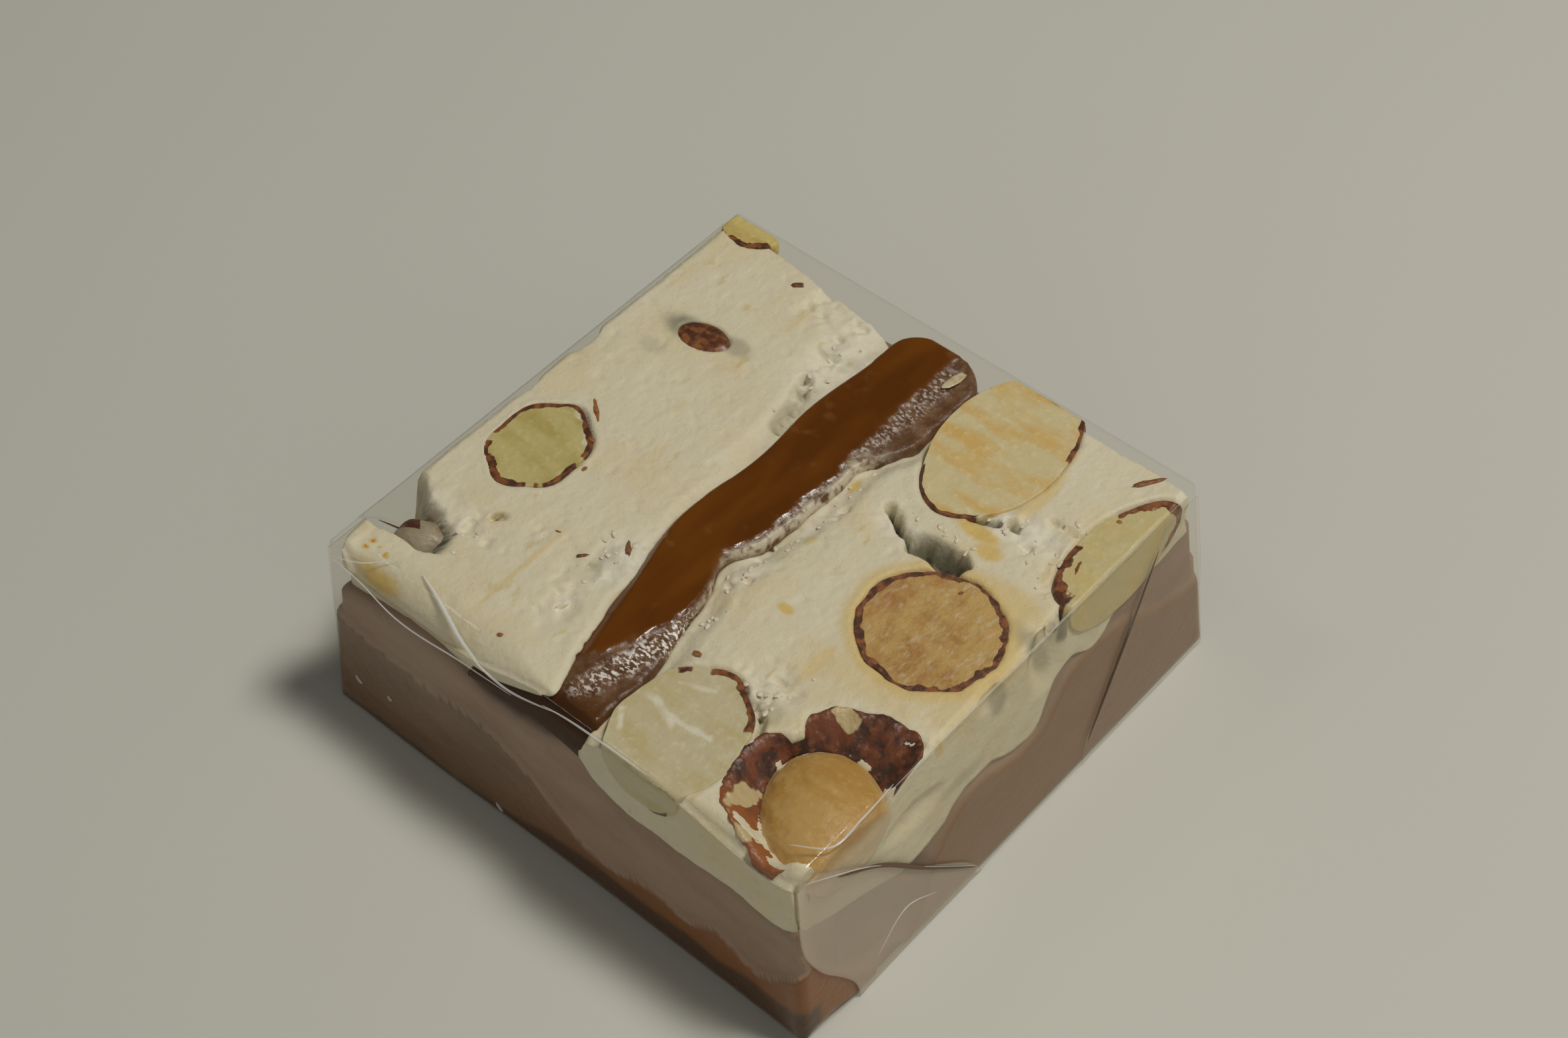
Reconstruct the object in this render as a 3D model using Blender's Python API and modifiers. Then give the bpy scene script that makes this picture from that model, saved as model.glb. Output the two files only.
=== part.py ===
"""Square nougat bar in clear film, built up as the real one is.

A thick foot of milk chocolate carries two blocks of soft nougat with a strip of caramel
between them. Almonds lie in the blocks, and the slab knife has cut most of them open.
A sleeve of clear film is drawn tight round it all and folded shut at both ends.

Sizes are millimetres. MM turns them into metres where a mesh is made.
The origin is under the middle of the bar. The caramel strip runs along Y.
"""

import math

import bmesh
import bpy
from mathutils import Matrix, Vector

for old in list(bpy.data.objects):
    bpy.data.objects.remove(old, do_unlink=True)

MM = 0.001

# The wrapped bar
BAR_WIDTH = 51.0  # along X, over the folded film ends
BAR_DEPTH = 49.8  # along Y
BAR_HEIGHT = 19.2
DRAFT = 1.5  # how far each side leans in from foot to top

# The film: a thin wall standing in for a film far thinner
FILM_WALL = 0.2
FOLD_RELIEF = 0.3  # the folded ends lie this far proud of the sleeve
CLEARANCE = 0.3  # kept between any two pieces
UPRIGHT_CORNER = 1.6
LEVEL_EDGE = 0.7
SEAM_GAP = 1.0  # the film's long seam underneath isn't sealed all the way
SEAM_LENGTH = 30.0

# What the film holds
INNER = FILM_WALL + CLEARANCE
SLEEVE_HALF_X = BAR_WIDTH / 2 - FOLD_RELIEF
SLEEVE_HALF_Y = BAR_DEPTH / 2
FOOD_HALF_X = SLEEVE_HALF_X - INNER
FOOD_FRONT = -(SLEEVE_HALF_Y - INNER)
FOOD_BACK = 22.7  # the film stands clear of the food behind it
FOOD_FLOOR = INNER
FOOD_TOP = BAR_HEIGHT - INNER
FOOD_CORNER = 1.0

# The milk chocolate foot climbs higher at the left and at the back right
CHOCOLATE_LEFT = 14.6
CHOCOLATE_MIDDLE = 12.6
CHOCOLATE_FRONT_RIGHT = 11.9
CHOCOLATE_BACK_RIGHT = 14.0

# The caramel strip
CARAMEL_BACK = 22.4
CARAMEL_FOOT = 9.0  # how far it creeps under the left block in front
CARAMEL_SAG = 0.45  # its right side lies this far below the film
CARAMEL_END = 3.0  # length of its rounded back end

# Openings torn in the nougat: middle (x, y), half lengths and turn in degrees
NOTCH_MIDDLE = (-21.0, -17.0)
NOTCH_HALF = (5.0, 2.1)
NOTCH_DEPTH = 2.4
TEAR_MIDDLE = (12.7, 6.1)
TEAR_HALF = (2.6, 1.3)
TEAR_DEPTH = 3.2

# Almonds: name, middle (x, y, z), half sizes (long, wide, deep), turn in degrees, and how
# much the tip narrows. Those with a middle near the top were cut across by the slab knife.
ALMONDS = (
    ("almond_left", (-18.0, -5.8, 18.5), (4.7, 3.9, 3.1), 97, 0.05),
    ("almond_buried", (-15.9, 10.8, 17.9), (3.3, 1.9, 1.5), 10, 0.3),
    ("almond_back_left", (-21.1, 22.3, 18.2), (2.7, 1.9, 2.6), 5, 0.1),
    ("almond_back", (9.1, 16.8, 18.3), (8.4, 5.2, 4.0), 92, 0.0),
    ("almond_toasted", (16.6, -0.3, 18.4), (5.8, 5.5, 4.4), 172, 0.05),
    ("almond_front", (8.4, -19.0, 18.3), (6.5, 4.9, 4.0), 95, 0.0),
    ("almond_whole", (20.0, -16.6, 16.4), (5.6, 4.6, 3.3), 128, 0.05),
    ("almond_right", (22.7, 14.0, 17.2), (7.1, 2.9, 4.0), 87, 0.2),
    ("almond_notch", (-19.6, -17.2, 16.7), (2.3, 1.7, 1.3), 20, 0.15),
)
SKIN_MIDDLE = (19.4, -16.0, 16.4)  # the loose brown skin, a collar round the whole almond
SKIN_HALF = (7.6, 6.1, 3.0)
SKIN_TURN = 103

# Folded ends: outlines of the flaps, (along the end, up), as seen from outside
TOP_FLAP = ((-21.6, 18.3), (-15.7, 13.3), (-5.0, 1.3), (8.4, 1.3), (12.3, 7.6), (17.8, 16.3), (19.2, 18.3))
BOTTOM_FLAP = ((-22.2, 0.8), (-14.8, 8.4), (17.2, 8.4), (22.0, 0.8))


def smooth(low, high, value):
    """0 at low, 1 at high, a soft S between them and level beyond. low may be the larger."""
    share = min(max((value - low) / (high - low), 0.0), 1.0)
    return share * share * (3.0 - 2.0 * share)


def bell(value, middle, reach):
    """1 at middle, dying away over reach on both sides."""
    return math.exp(-(((value - middle) / reach) ** 2))


def mix(first, second, share):
    return first + (second - first) * share


def principled(name, colour, roughness, alpha=1.0):
    """A Principled material in one plain colour."""
    made = bpy.data.materials.new(name)
    made.use_nodes = True
    shader = made.node_tree.nodes["Principled BSDF"]
    shader.inputs["Base Color"].default_value = (*colour, 1.0)
    shader.inputs["Roughness"].default_value = roughness
    shader.inputs["Metallic"].default_value = 0.0
    shader.inputs["Alpha"].default_value = alpha
    return made


FILM = principled("clear_film", (0.86, 0.85, 0.80), 0.08, 0.2)
CHOCOLATE = principled("milk_chocolate", (0.20, 0.11, 0.06), 0.45)
NOUGAT = principled("white_nougat", (0.78, 0.72, 0.56), 0.6)
CARAMEL = principled("soft_caramel", (0.19, 0.06, 0.01), 0.25)
ALMOND = principled("blanched_almond", (0.63, 0.50, 0.26), 0.5)
TOASTED = principled("toasted_almond", (0.48, 0.26, 0.09), 0.5)
SKIN = principled("almond_skin", (0.12, 0.03, 0.01), 0.55)


def new_collection(name):
    made = bpy.data.collections.new(name)
    bpy.context.scene.collection.children.link(made)
    return made


BAR = new_collection("nougat_bar")
CUTTERS = new_collection("cutters")


def put(name, bm, surface=None):
    """Makes the object of a bmesh drawn in millimetres: a piece if it has a surface, a cutter if not."""
    mesh = bpy.data.meshes.new(name)
    bmesh.ops.scale(bm, vec=(MM, MM, MM), verts=bm.verts)
    bm.to_mesh(mesh)
    bm.free()
    piece = bpy.data.objects.new(name, mesh)
    if surface is None:
        CUTTERS.objects.link(piece)
        piece.hide_render = True
        piece.display_type = "WIRE"
        return piece
    BAR.objects.link(piece)
    mesh.materials.append(surface)
    return piece


def combine(piece, operation, other):
    """Adds a Boolean of piece with other."""
    change = piece.modifiers.new(other.name, "BOOLEAN")
    change.operation = operation
    change.object = other
    change.solver = "EXACT"


def cut(piece, *others):
    for other in others:
        combine(piece, "DIFFERENCE", other)


def divided_block(cells, place):
    """A cube cut into cells along X, Y and Z, its vertices moved to place(u, v, w), each 0 to 1."""
    bm = bmesh.new()
    bmesh.ops.create_cube(bm, size=1.0)
    for axis, count in enumerate(cells):
        along = [e for e in bm.edges if abs((e.verts[0].co - e.verts[1].co)[axis]) > 0.9]
        bmesh.ops.subdivide_edges(bm, edges=along, cuts=count - 1, use_grid_fill=True)
    for vertex in bm.verts:
        u, v, w = (part + 0.5 for part in vertex.co)
        vertex.co = Vector(place(u, v, w))
    return bm


def food_plan(u, v, z, shrink=0.0):
    """A point of the food's outline at height z: the sides lean in and the corners are eased."""
    across, along = 2.0 * u - 1.0, 2.0 * v - 1.0
    lean = DRAFT * z / BAR_HEIGHT + shrink
    half_x = FOOD_HALF_X - lean - FOOD_CORNER * abs(along) ** 10
    pull = FOOD_CORNER * abs(across) ** 10
    front, back = FOOD_FRONT + lean + pull, FOOD_BACK - shrink - pull
    return across * half_x, mix(front, back, v)


def chocolate_level(x, y):
    """Height of the chocolate's upper side: a step down under the caramel and waves to the right."""
    level = mix(CHOCOLATE_LEFT + 0.07 * (x + 12.0), CHOCOLATE_MIDDLE, smooth(1.0, 6.5, x))
    level += (CHOCOLATE_FRONT_RIGHT - CHOCOLATE_MIDDLE) * smooth(16.0, 24.0, x) * (1.0 - smooth(-8.0, -2.0, y))
    level += (CHOCOLATE_BACK_RIGHT - CHOCOLATE_MIDDLE) * smooth(8.0, 20.0, x) * smooth(4.0, 14.0, y)
    level -= 1.8 * bell(x, 24.0, 7.0) * bell(y, 0.9, 2.7)
    level += 0.35 * math.sin(0.34 * x + 0.7) * math.cos(0.29 * y)
    return level


def chocolate_block(grow):
    """The chocolate foot, or with grow the cutter that clears what lies on it."""

    def place(u, v, w):
        middle_x, middle_y = food_plan(u, v, 0.0)
        top = chocolate_level(middle_x, middle_y)
        x, y = food_plan(u, v, mix(FOOD_FLOOR, top, w))
        wide = 1.0 + 0.06 * grow
        return x * wide, y * wide, mix(FOOD_FLOOR - grow, top + grow, w)

    return divided_block((16, 16, 3), place)


def outermost(share):
    """-1 on a block's first layer of vertices, 1 on its last and 0 between."""
    return (share > 0.999) - (share < 0.001)


def caramel_left(y):
    """The strip's left edge: straight behind, then drifting right towards the front."""
    return -4.55 + 0.02 * y + 5.0 * smooth(-3.5, -24.5, y) + 0.25 * math.sin(0.45 * (y - 0.5))


def caramel_right(y):
    """The strip's right edge: wide behind, waisted in the middle and wide again in front."""
    edge = 2.25 + 0.02 * y + 1.9 * smooth(7.5, 13.5, y) + 1.8 * smooth(-8.0, -18.0, y)
    return edge - 1.6 * bell(y, -5.2, 2.2)


def caramel_block(grow):
    """The caramel strip, or with grow the cutter that clears its neighbours."""

    def place(u, v, w):
        z = mix(CHOCOLATE_MIDDLE - 1.0, FOOD_TOP, w)
        y = mix(FOOD_FRONT + DRAFT * z / BAR_HEIGHT, CARAMEL_BACK, v)
        left, right = caramel_left(y), caramel_right(y)
        left -= CARAMEL_FOOT * smooth(19.2, 15.4, z - 1.5 * grow) * smooth(2.0, -20.0, y)
        past = max(0.0, y - (CARAMEL_BACK - CARAMEL_END)) / (CARAMEL_END + 2.0 * grow)
        squeeze = 0.4 * (right - left) * (1.0 - math.sqrt(1.0 - past * past))
        x = mix(left + squeeze - grow, right - squeeze + grow, u)
        if grow:
            return x, y + outermost(v) * grow, z + 2.0 * outermost(w) * grow
        return x, y, z - CARAMEL_SAG * smooth(0.5, 1.0, u) * w

    return divided_block((5, 18, 4), place)


def nougat_top(x, y, near_caramel):
    """Height of a block's cut top: rounded at the front, soft towards the caramel."""
    top = FOOD_TOP - 0.12 * (1.0 + math.sin(0.31 * x) * math.cos(0.27 * y))
    top -= 1.1 * smooth(FOOD_FRONT + DRAFT + 1.8, FOOD_FRONT + DRAFT, y)
    return top - 0.9 * near_caramel


def nougat_block(side):
    """A block of nougat from the bar's side to the middle of the caramel, before it is cut."""

    def place(u, v, w):
        share = u if side > 0 else 1.0 - u
        outer_x, y = food_plan(1.0 if side > 0 else 0.0, v, mix(CHOCOLATE_MIDDLE, FOOD_TOP, w))
        inner_x = 0.5 * (caramel_left(y) + caramel_right(y))
        x = mix(inner_x, outer_x, share)
        edge = caramel_left(y) if side < 0 else caramel_right(y)
        near = bell(x, edge, 1.6) if side > 0 else bell(x, edge, 1.3) * smooth(0.0, 8.0, y)
        return x, y, mix(CHOCOLATE_MIDDLE - 2.5, nougat_top(x, y, near), w)

    return divided_block((8, 15, 2), place)


def almond(middle, half, turn, narrow, grow=0.0):
    """An ellipsoid whose tip narrows, turned about Z and placed. grow makes it larger all round."""
    bm = bmesh.new()
    bmesh.ops.create_uvsphere(bm, u_segments=16, v_segments=9, radius=1.0)
    turned = Matrix.Rotation(math.radians(turn), 3, "Z")
    for vertex in bm.verts:
        long, wide, deep = vertex.co
        taper = 1.0 - narrow * max(0.0, long) ** 2
        size = Vector((long * (half[0] + grow), wide * taper * (half[1] + grow), deep * taper * (half[2] + grow)))
        vertex.co = turned @ size + Vector(middle)
    return bm


def make_knife():
    """The food's own outer box, which trims every almond flush with the cut faces."""

    def place(u, v, w):
        z = mix(FOOD_FLOOR, FOOD_TOP, w)
        x, y = food_plan(u, v, z, shrink=0.05)
        return x, y, z

    return put("knife", divided_block((8, 8, 1), place))


def make_chocolate():
    return put("chocolate_base", chocolate_block(0.0), CHOCOLATE)


def make_caramel(chocolate_cutter):
    strip = put("caramel_strip", caramel_block(0.0), CARAMEL)
    cut(strip, chocolate_cutter)
    return strip


def make_almonds(knife, cutters):
    """Every almond, trimmed by the knife, and the larger copy that clears the nougat round it."""
    surfaces = {"almond_toasted": TOASTED, "almond_whole": TOASTED, "almond_buried": SKIN}
    pockets = {}
    for name, middle, half, turn, narrow in ALMONDS:
        piece = put(name, almond(middle, half, turn, narrow), surfaces.get(name, ALMOND))
        combine(piece, "INTERSECT", knife)
        cut(piece, *cutters)
        pockets[name] = put("pocket_" + name, almond(middle, half, turn, narrow, CLEARANCE))
    return pockets


def make_skin(knife, cutters, pockets):
    """The skin: a flatter, wider ellipsoid, opened by the whole almond that it once wrapped."""
    cup = put("almond_skin", almond(SKIN_MIDDLE, SKIN_HALF, SKIN_TURN, 0.0), SKIN)
    combine(cup, "INTERSECT", knife)
    cut(cup, pockets["almond_whole"], pockets["almond_front"], *cutters)
    return put("pocket_skin", almond(SKIN_MIDDLE, SKIN_HALF, SKIN_TURN, 0.0, CLEARANCE))


def opening(name, middle, half, depth, turn):
    """A cutter for a torn opening: an ellipsoid sunk into the top."""
    return put(name, almond((*middle, FOOD_TOP + 0.4), (*half, depth + 0.4), turn, 0.0))


def make_nougat(cutters, pockets, skin_pocket):
    """Both blocks, cleared first for the caramel, then for the chocolate, the openings and the almonds."""
    notch = opening("notch_cutter", NOTCH_MIDDLE, NOTCH_HALF, NOTCH_DEPTH, 5.0)
    tear = opening("tear_cutter", TEAR_MIDDLE, TEAR_HALF, TEAR_DEPTH, -8.0)
    left = put("nougat_left", nougat_block(-1), NOUGAT)
    right = put("nougat_right", nougat_block(1), NOUGAT)
    cut(left, *cutters[::-1], notch)
    cut(right, *cutters[::-1], skin_pocket, tear)
    for name, pocket in pockets.items():
        middle_x = next(row[1][0] for row in ALMONDS if row[0] == name)
        cut(left if middle_x < 0.0 else right, pocket)


def end_frame(side):
    """Axes on a folded end: along it, up its lean, and straight out of it."""
    lean = math.atan(DRAFT / BAR_HEIGHT)
    along = Vector((0.0, side, 0.0))
    up = Vector((-side * math.sin(lean), 0.0, math.cos(lean)))
    frame = Matrix((along, up, along.cross(up))).transposed().to_4x4()
    frame.translation = Vector((side * SLEEVE_HALF_X, 0.0, 0.0))
    return frame


def make_flap(name, side, outline, proud, sunk):
    """A folded flap: a flat outline that stands proud of the sleeve and is sunk into its wall."""
    curve = bpy.data.curves.new(name, "CURVE")
    curve.dimensions = "2D"
    curve.fill_mode = "BOTH"
    thickness = proud + sunk
    curve.extrude = thickness / 2
    line = curve.splines.new("POLY")
    line.points.add(len(outline) - 1)
    for point, (along, up) in zip(line.points, outline):
        point.co = (along, up, 0.0, 1.0)
    line.use_cyclic_u = True
    drawn = bpy.data.objects.new(name + "_outline", curve)
    CUTTERS.objects.link(drawn)
    evaluated = drawn.evaluated_get(bpy.context.evaluated_depsgraph_get())
    bm = bmesh.new()
    bm.from_mesh(evaluated.to_mesh())
    bpy.data.objects.remove(drawn, do_unlink=True)
    bmesh.ops.remove_doubles(bm, verts=bm.verts, dist=0.01)
    bmesh.ops.recalc_face_normals(bm, faces=bm.faces)
    middle = Matrix.Translation((0.0, 0.0, proud - thickness / 2))
    bmesh.ops.transform(bm, matrix=end_frame(side) @ middle, verts=bm.verts)
    return put(name, bm)


def bevel_edges(bm, edges, offset, segments):
    bmesh.ops.bevel(bm, geom=edges, offset=offset, segments=segments, profile=0.5, affect="EDGES")


def make_film():
    """The sleeve: a leaning box with eased edges, open along its seam underneath."""
    bm = bmesh.new()
    bmesh.ops.create_cube(bm, size=2.0)
    for vertex in bm.verts:
        x, y, z = vertex.co
        level = (z + 1.0) / 2.0
        reach_x, reach_y = SLEEVE_HALF_X - DRAFT * level, SLEEVE_HALF_Y - DRAFT * level
        vertex.co = Vector((x * reach_x, y * reach_y, level * BAR_HEIGHT))
    upright = [e for e in bm.edges if abs(e.verts[0].co.z - e.verts[1].co.z) > 1.0]
    bevel_edges(bm, upright, UPRIGHT_CORNER, 3)
    level_edges = [e for e in bm.edges if abs(e.verts[0].co.z - e.verts[1].co.z) < 0.1]
    bevel_edges(bm, level_edges, LEVEL_EDGE, 2)
    film = put("film_wrap", bm, FILM)
    wall = film.modifiers.new("wall", "SOLIDIFY")
    wall.thickness = FILM_WALL * MM
    wall.offset = -1.0
    wall.use_even_offset = True
    seam = bmesh.new()
    bmesh.ops.create_cube(seam, size=1.0)
    bmesh.ops.scale(seam, vec=(SEAM_GAP, SEAM_LENGTH, 4.0 * FILM_WALL), verts=seam.verts)
    cut(film, put("seam_cutter", seam))
    for side in (1, -1):
        end = "right" if side > 0 else "left"
        combine(film, "UNION", make_flap("bottom_flap_" + end, side, BOTTOM_FLAP, FOLD_RELIEF / 2, 0.6 * FILM_WALL))
        combine(film, "UNION", make_flap("top_flap_" + end, side, TOP_FLAP, FOLD_RELIEF, 0.4 * FILM_WALL))


KNIFE = make_knife()
CHOCOLATE_CUTTER = put("chocolate_cutter", chocolate_block(CLEARANCE))
CARAMEL_CUTTER = put("caramel_cutter", caramel_block(CLEARANCE))
make_chocolate()
make_caramel(CHOCOLATE_CUTTER)
POCKETS = make_almonds(KNIFE, (CHOCOLATE_CUTTER, CARAMEL_CUTTER))
SKIN_POCKET = make_skin(KNIFE, (CHOCOLATE_CUTTER, CARAMEL_CUTTER), POCKETS)
make_nougat((CHOCOLATE_CUTTER, CARAMEL_CUTTER), POCKETS, SKIN_POCKET)
make_film()
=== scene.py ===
"""Square nougat bar in clear film, dressed in the order a confectioner builds it.

Chocolate foot, almonds, the two nougat blocks, the caramel strip, loose bits, then the film.
Shapes are worked out in millimetres and turned into metres where a mesh is made.
X runs to the bar's folded right end, Y to its back, Z up from the table.
"""

import math

import bpy
import numpy as np
from mathutils import Matrix, Vector


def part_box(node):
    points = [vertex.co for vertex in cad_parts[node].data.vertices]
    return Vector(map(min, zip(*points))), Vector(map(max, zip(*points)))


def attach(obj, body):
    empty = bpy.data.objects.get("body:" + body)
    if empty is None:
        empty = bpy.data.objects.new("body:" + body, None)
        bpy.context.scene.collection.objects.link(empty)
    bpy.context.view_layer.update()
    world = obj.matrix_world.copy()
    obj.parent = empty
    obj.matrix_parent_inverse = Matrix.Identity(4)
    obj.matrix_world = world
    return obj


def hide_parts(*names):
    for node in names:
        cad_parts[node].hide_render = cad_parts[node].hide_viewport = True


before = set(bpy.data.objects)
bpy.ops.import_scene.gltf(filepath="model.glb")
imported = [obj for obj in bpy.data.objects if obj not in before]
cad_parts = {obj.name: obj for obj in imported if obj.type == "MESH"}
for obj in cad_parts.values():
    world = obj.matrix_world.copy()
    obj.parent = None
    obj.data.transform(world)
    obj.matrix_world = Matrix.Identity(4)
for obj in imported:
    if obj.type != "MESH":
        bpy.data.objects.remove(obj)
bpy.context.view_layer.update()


# ---------------------------------------------------------------------------------------
# Chocolate foot. Milk chocolate, poured as a slab and pressed to the nougat while soft, so
# that its rim has crept up the sides. Where it lies on the film it is dark and smooth,
# and where it has shrunk back it is paler, with a dull bloom and the film's hazy
# reflection over the gap painted into its colour.

MM = 0.001


def span(node):
    """A solid's lowest and highest corner, in millimetres."""
    low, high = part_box(node)
    return np.array(low) / MM, np.array(high) / MM


WRAP_LOW, WRAP_HIGH = span("film_wrap")
FOOT_LOW, FOOT_HIGH = span("chocolate_base")
FOLD_RELIEF = 0.3  # the folded ends lie this far outside the sleeve
FILM = 0.05  # thickness of the film
SLEEVE_X = WRAP_HIGH[0] - FOLD_RELIEF
SLEEVE_Y = WRAP_HIGH[1]
SLEEVE_TOP = WRAP_HIGH[2]
LEAN = 1.5  # how far each side leans in from foot to top
CORNER = 0.9  # radius of the upright corners
TOUCH = 0.03  # gap between the film and what it is drawn tight on


def smooth(low, high, value):
    """0 at low, 1 at high, a soft S between them and level beyond. low may be the larger."""
    share = np.clip((value - low) / (high - low), 0.0, 1.0)
    return share * share * (3.0 - 2.0 * share)


def bell(value, middle, reach):
    """1 at middle, dying away over reach on both sides."""
    return np.exp(-(((value - middle) / reach) ** 2))


def mix(first, second, share):
    return first + (second - first) * share


def through(route, value):
    """A smooth line through the route's points: each stretch is a cubic with its neighbours' slopes."""
    place, level = np.array(route, float).T
    slope = np.gradient(level, place)
    k = np.clip(np.searchsorted(place, value) - 1, 0, len(place) - 2)
    run = place[k + 1] - place[k]
    s = np.clip((value - place[k]) / run, 0.0, 1.0)
    start = (1.0 + 2.0 * s) * (1.0 - s) ** 2 * level[k] + s * (1.0 - s) ** 2 * run * slope[k]
    return start + s * s * (3.0 - 2.0 * s) * level[k + 1] + s * s * (s - 1.0) * run * slope[k + 1]


def lattice_value(i, j, k, seed):
    """A repeatable number from 0 to 1 for whole lattice points, from mixed and folded bits."""
    mixed = (i * 374761393 + j * 668265263 + k * 1440662683 + seed * 1274126177) & 0xFFFFFFFF
    mixed = ((mixed ^ (mixed >> 13)) * 1274126177) & 0xFFFFFFFF
    return ((mixed ^ (mixed >> 16)) & 0xFFFF) / 65535.0


def cloud(x, y, z, size, seed):
    """Soft random field from -1 to 1: numbers on a lattice `size` apart, blended between by S curves."""
    place = [np.asarray(part, float) / size for part in (x, y, z)]
    whole = [np.floor(part).astype(np.int64) for part in place]
    s = [(part - low) ** 2 * (3.0 - 2.0 * (part - low)) for part, low in zip(place, whole)]
    total = 0.0
    for corner in range(8):
        step = (corner & 1, corner >> 1 & 1, corner >> 2)
        weight = 1.0
        for axis in range(3):
            weight = weight * (s[axis] if step[axis] else 1.0 - s[axis])
        total = total + weight * lattice_value(*(low + add for low, add in zip(whole, step)), seed)
    return 2.0 * total - 1.0


def clouds(x, y, z, size, layers, seed):
    """Several clouds, each half the size and half the strength of the last, from about -1 to 1."""
    total, strength = 0.0, 0.55
    for layer in range(layers):
        total = total + strength * cloud(x, y, z, size * 0.5**layer, seed + layer)
        strength *= 0.55
    return total


def block_skin(cells):
    """Skin of a cube cut into cells: each point's share along X, Y and Z, and the quads, facing out."""
    def number(i, j, k):
        return (i * (cells[1] + 1) + j) * (cells[2] + 1) + k

    quads = []
    for axis in range(3):
        first, second = (axis + 1) % 3, (axis + 2) % 3
        p, q = np.meshgrid(np.arange(cells[first]), np.arange(cells[second]), indexing="ij")
        for end in (0, 1):
            corners = []
            for move_p, move_q in ((0, 0), (1, 0), (1, 1), (0, 1)):
                where = [None] * 3
                where[axis] = np.full(p.shape, end * cells[axis])
                where[first], where[second] = p + move_p, q + move_q
                corners.append(number(*where))
            quad = np.stack(corners, axis=-1).reshape(-1, 4)
            quads.append(quad if end else quad[:, ::-1])
    numbers, quads = np.unique(np.concatenate(quads), return_inverse=True)
    i, rest = np.divmod(numbers, (cells[1] + 1) * (cells[2] + 1))
    j, k = np.divmod(rest, cells[2] + 1)
    return i / cells[0], j / cells[1], k / cells[2], quads.reshape(-1, 4)


def wrap_half(z):
    """Half width and half depth inside the film at height z: the sides lean in."""
    lean = LEAN * np.clip(z / SLEEVE_TOP, 0.0, 1.0) + FILM + TOUCH
    return SLEEVE_X - lean, SLEEVE_Y - lean


def round_plan(across, along, half_x, half_y, radius):
    """A square's point (-1 to 1 both ways) in a rectangle with round corners: corner squares become sectors."""
    x, y = across * half_x, along * half_y
    past_x = np.maximum(np.abs(x) - (half_x - radius), 0.0) / radius
    past_y = np.maximum(np.abs(y) - (half_y - radius), 0.0) / radius
    reach = np.maximum(np.hypot(past_x, past_y), 1e-9)
    pull = np.maximum(past_x, past_y) / reach
    x = np.sign(x) * (np.abs(x) - radius * past_x * (1.0 - pull))
    y = np.sign(y) * (np.abs(y) - radius * past_y * (1.0 - pull))
    return x, y


def quarter(distance, radius):
    """How far a quarter-round edge has fallen at this distance from the side."""
    past = np.clip((radius - distance) / radius, 0.0, 1.0)
    return radius * (1.0 - np.sqrt(np.maximum(1.0 - past * past, 0.0)))


def make_piece(name, points, faces, surface, **fields):
    """A smooth-shaded mesh from millimetre points (n, 3) and faces, with one named number per point."""
    mesh = bpy.data.meshes.new(name)
    mesh.from_pydata((points * MM).tolist(), [], faces.tolist())
    for label, values in fields.items():
        made = mesh.attributes.new(label, "FLOAT", "POINT")
        made.data.foreach_set("value", np.broadcast_to(values, len(points)).astype(np.float32))
    mesh.materials.append(surface)
    mesh.shade_smooth()
    piece = bpy.data.objects.new(name, mesh)
    bpy.context.scene.collection.objects.link(piece)
    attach(piece, "root")
    return piece


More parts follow.
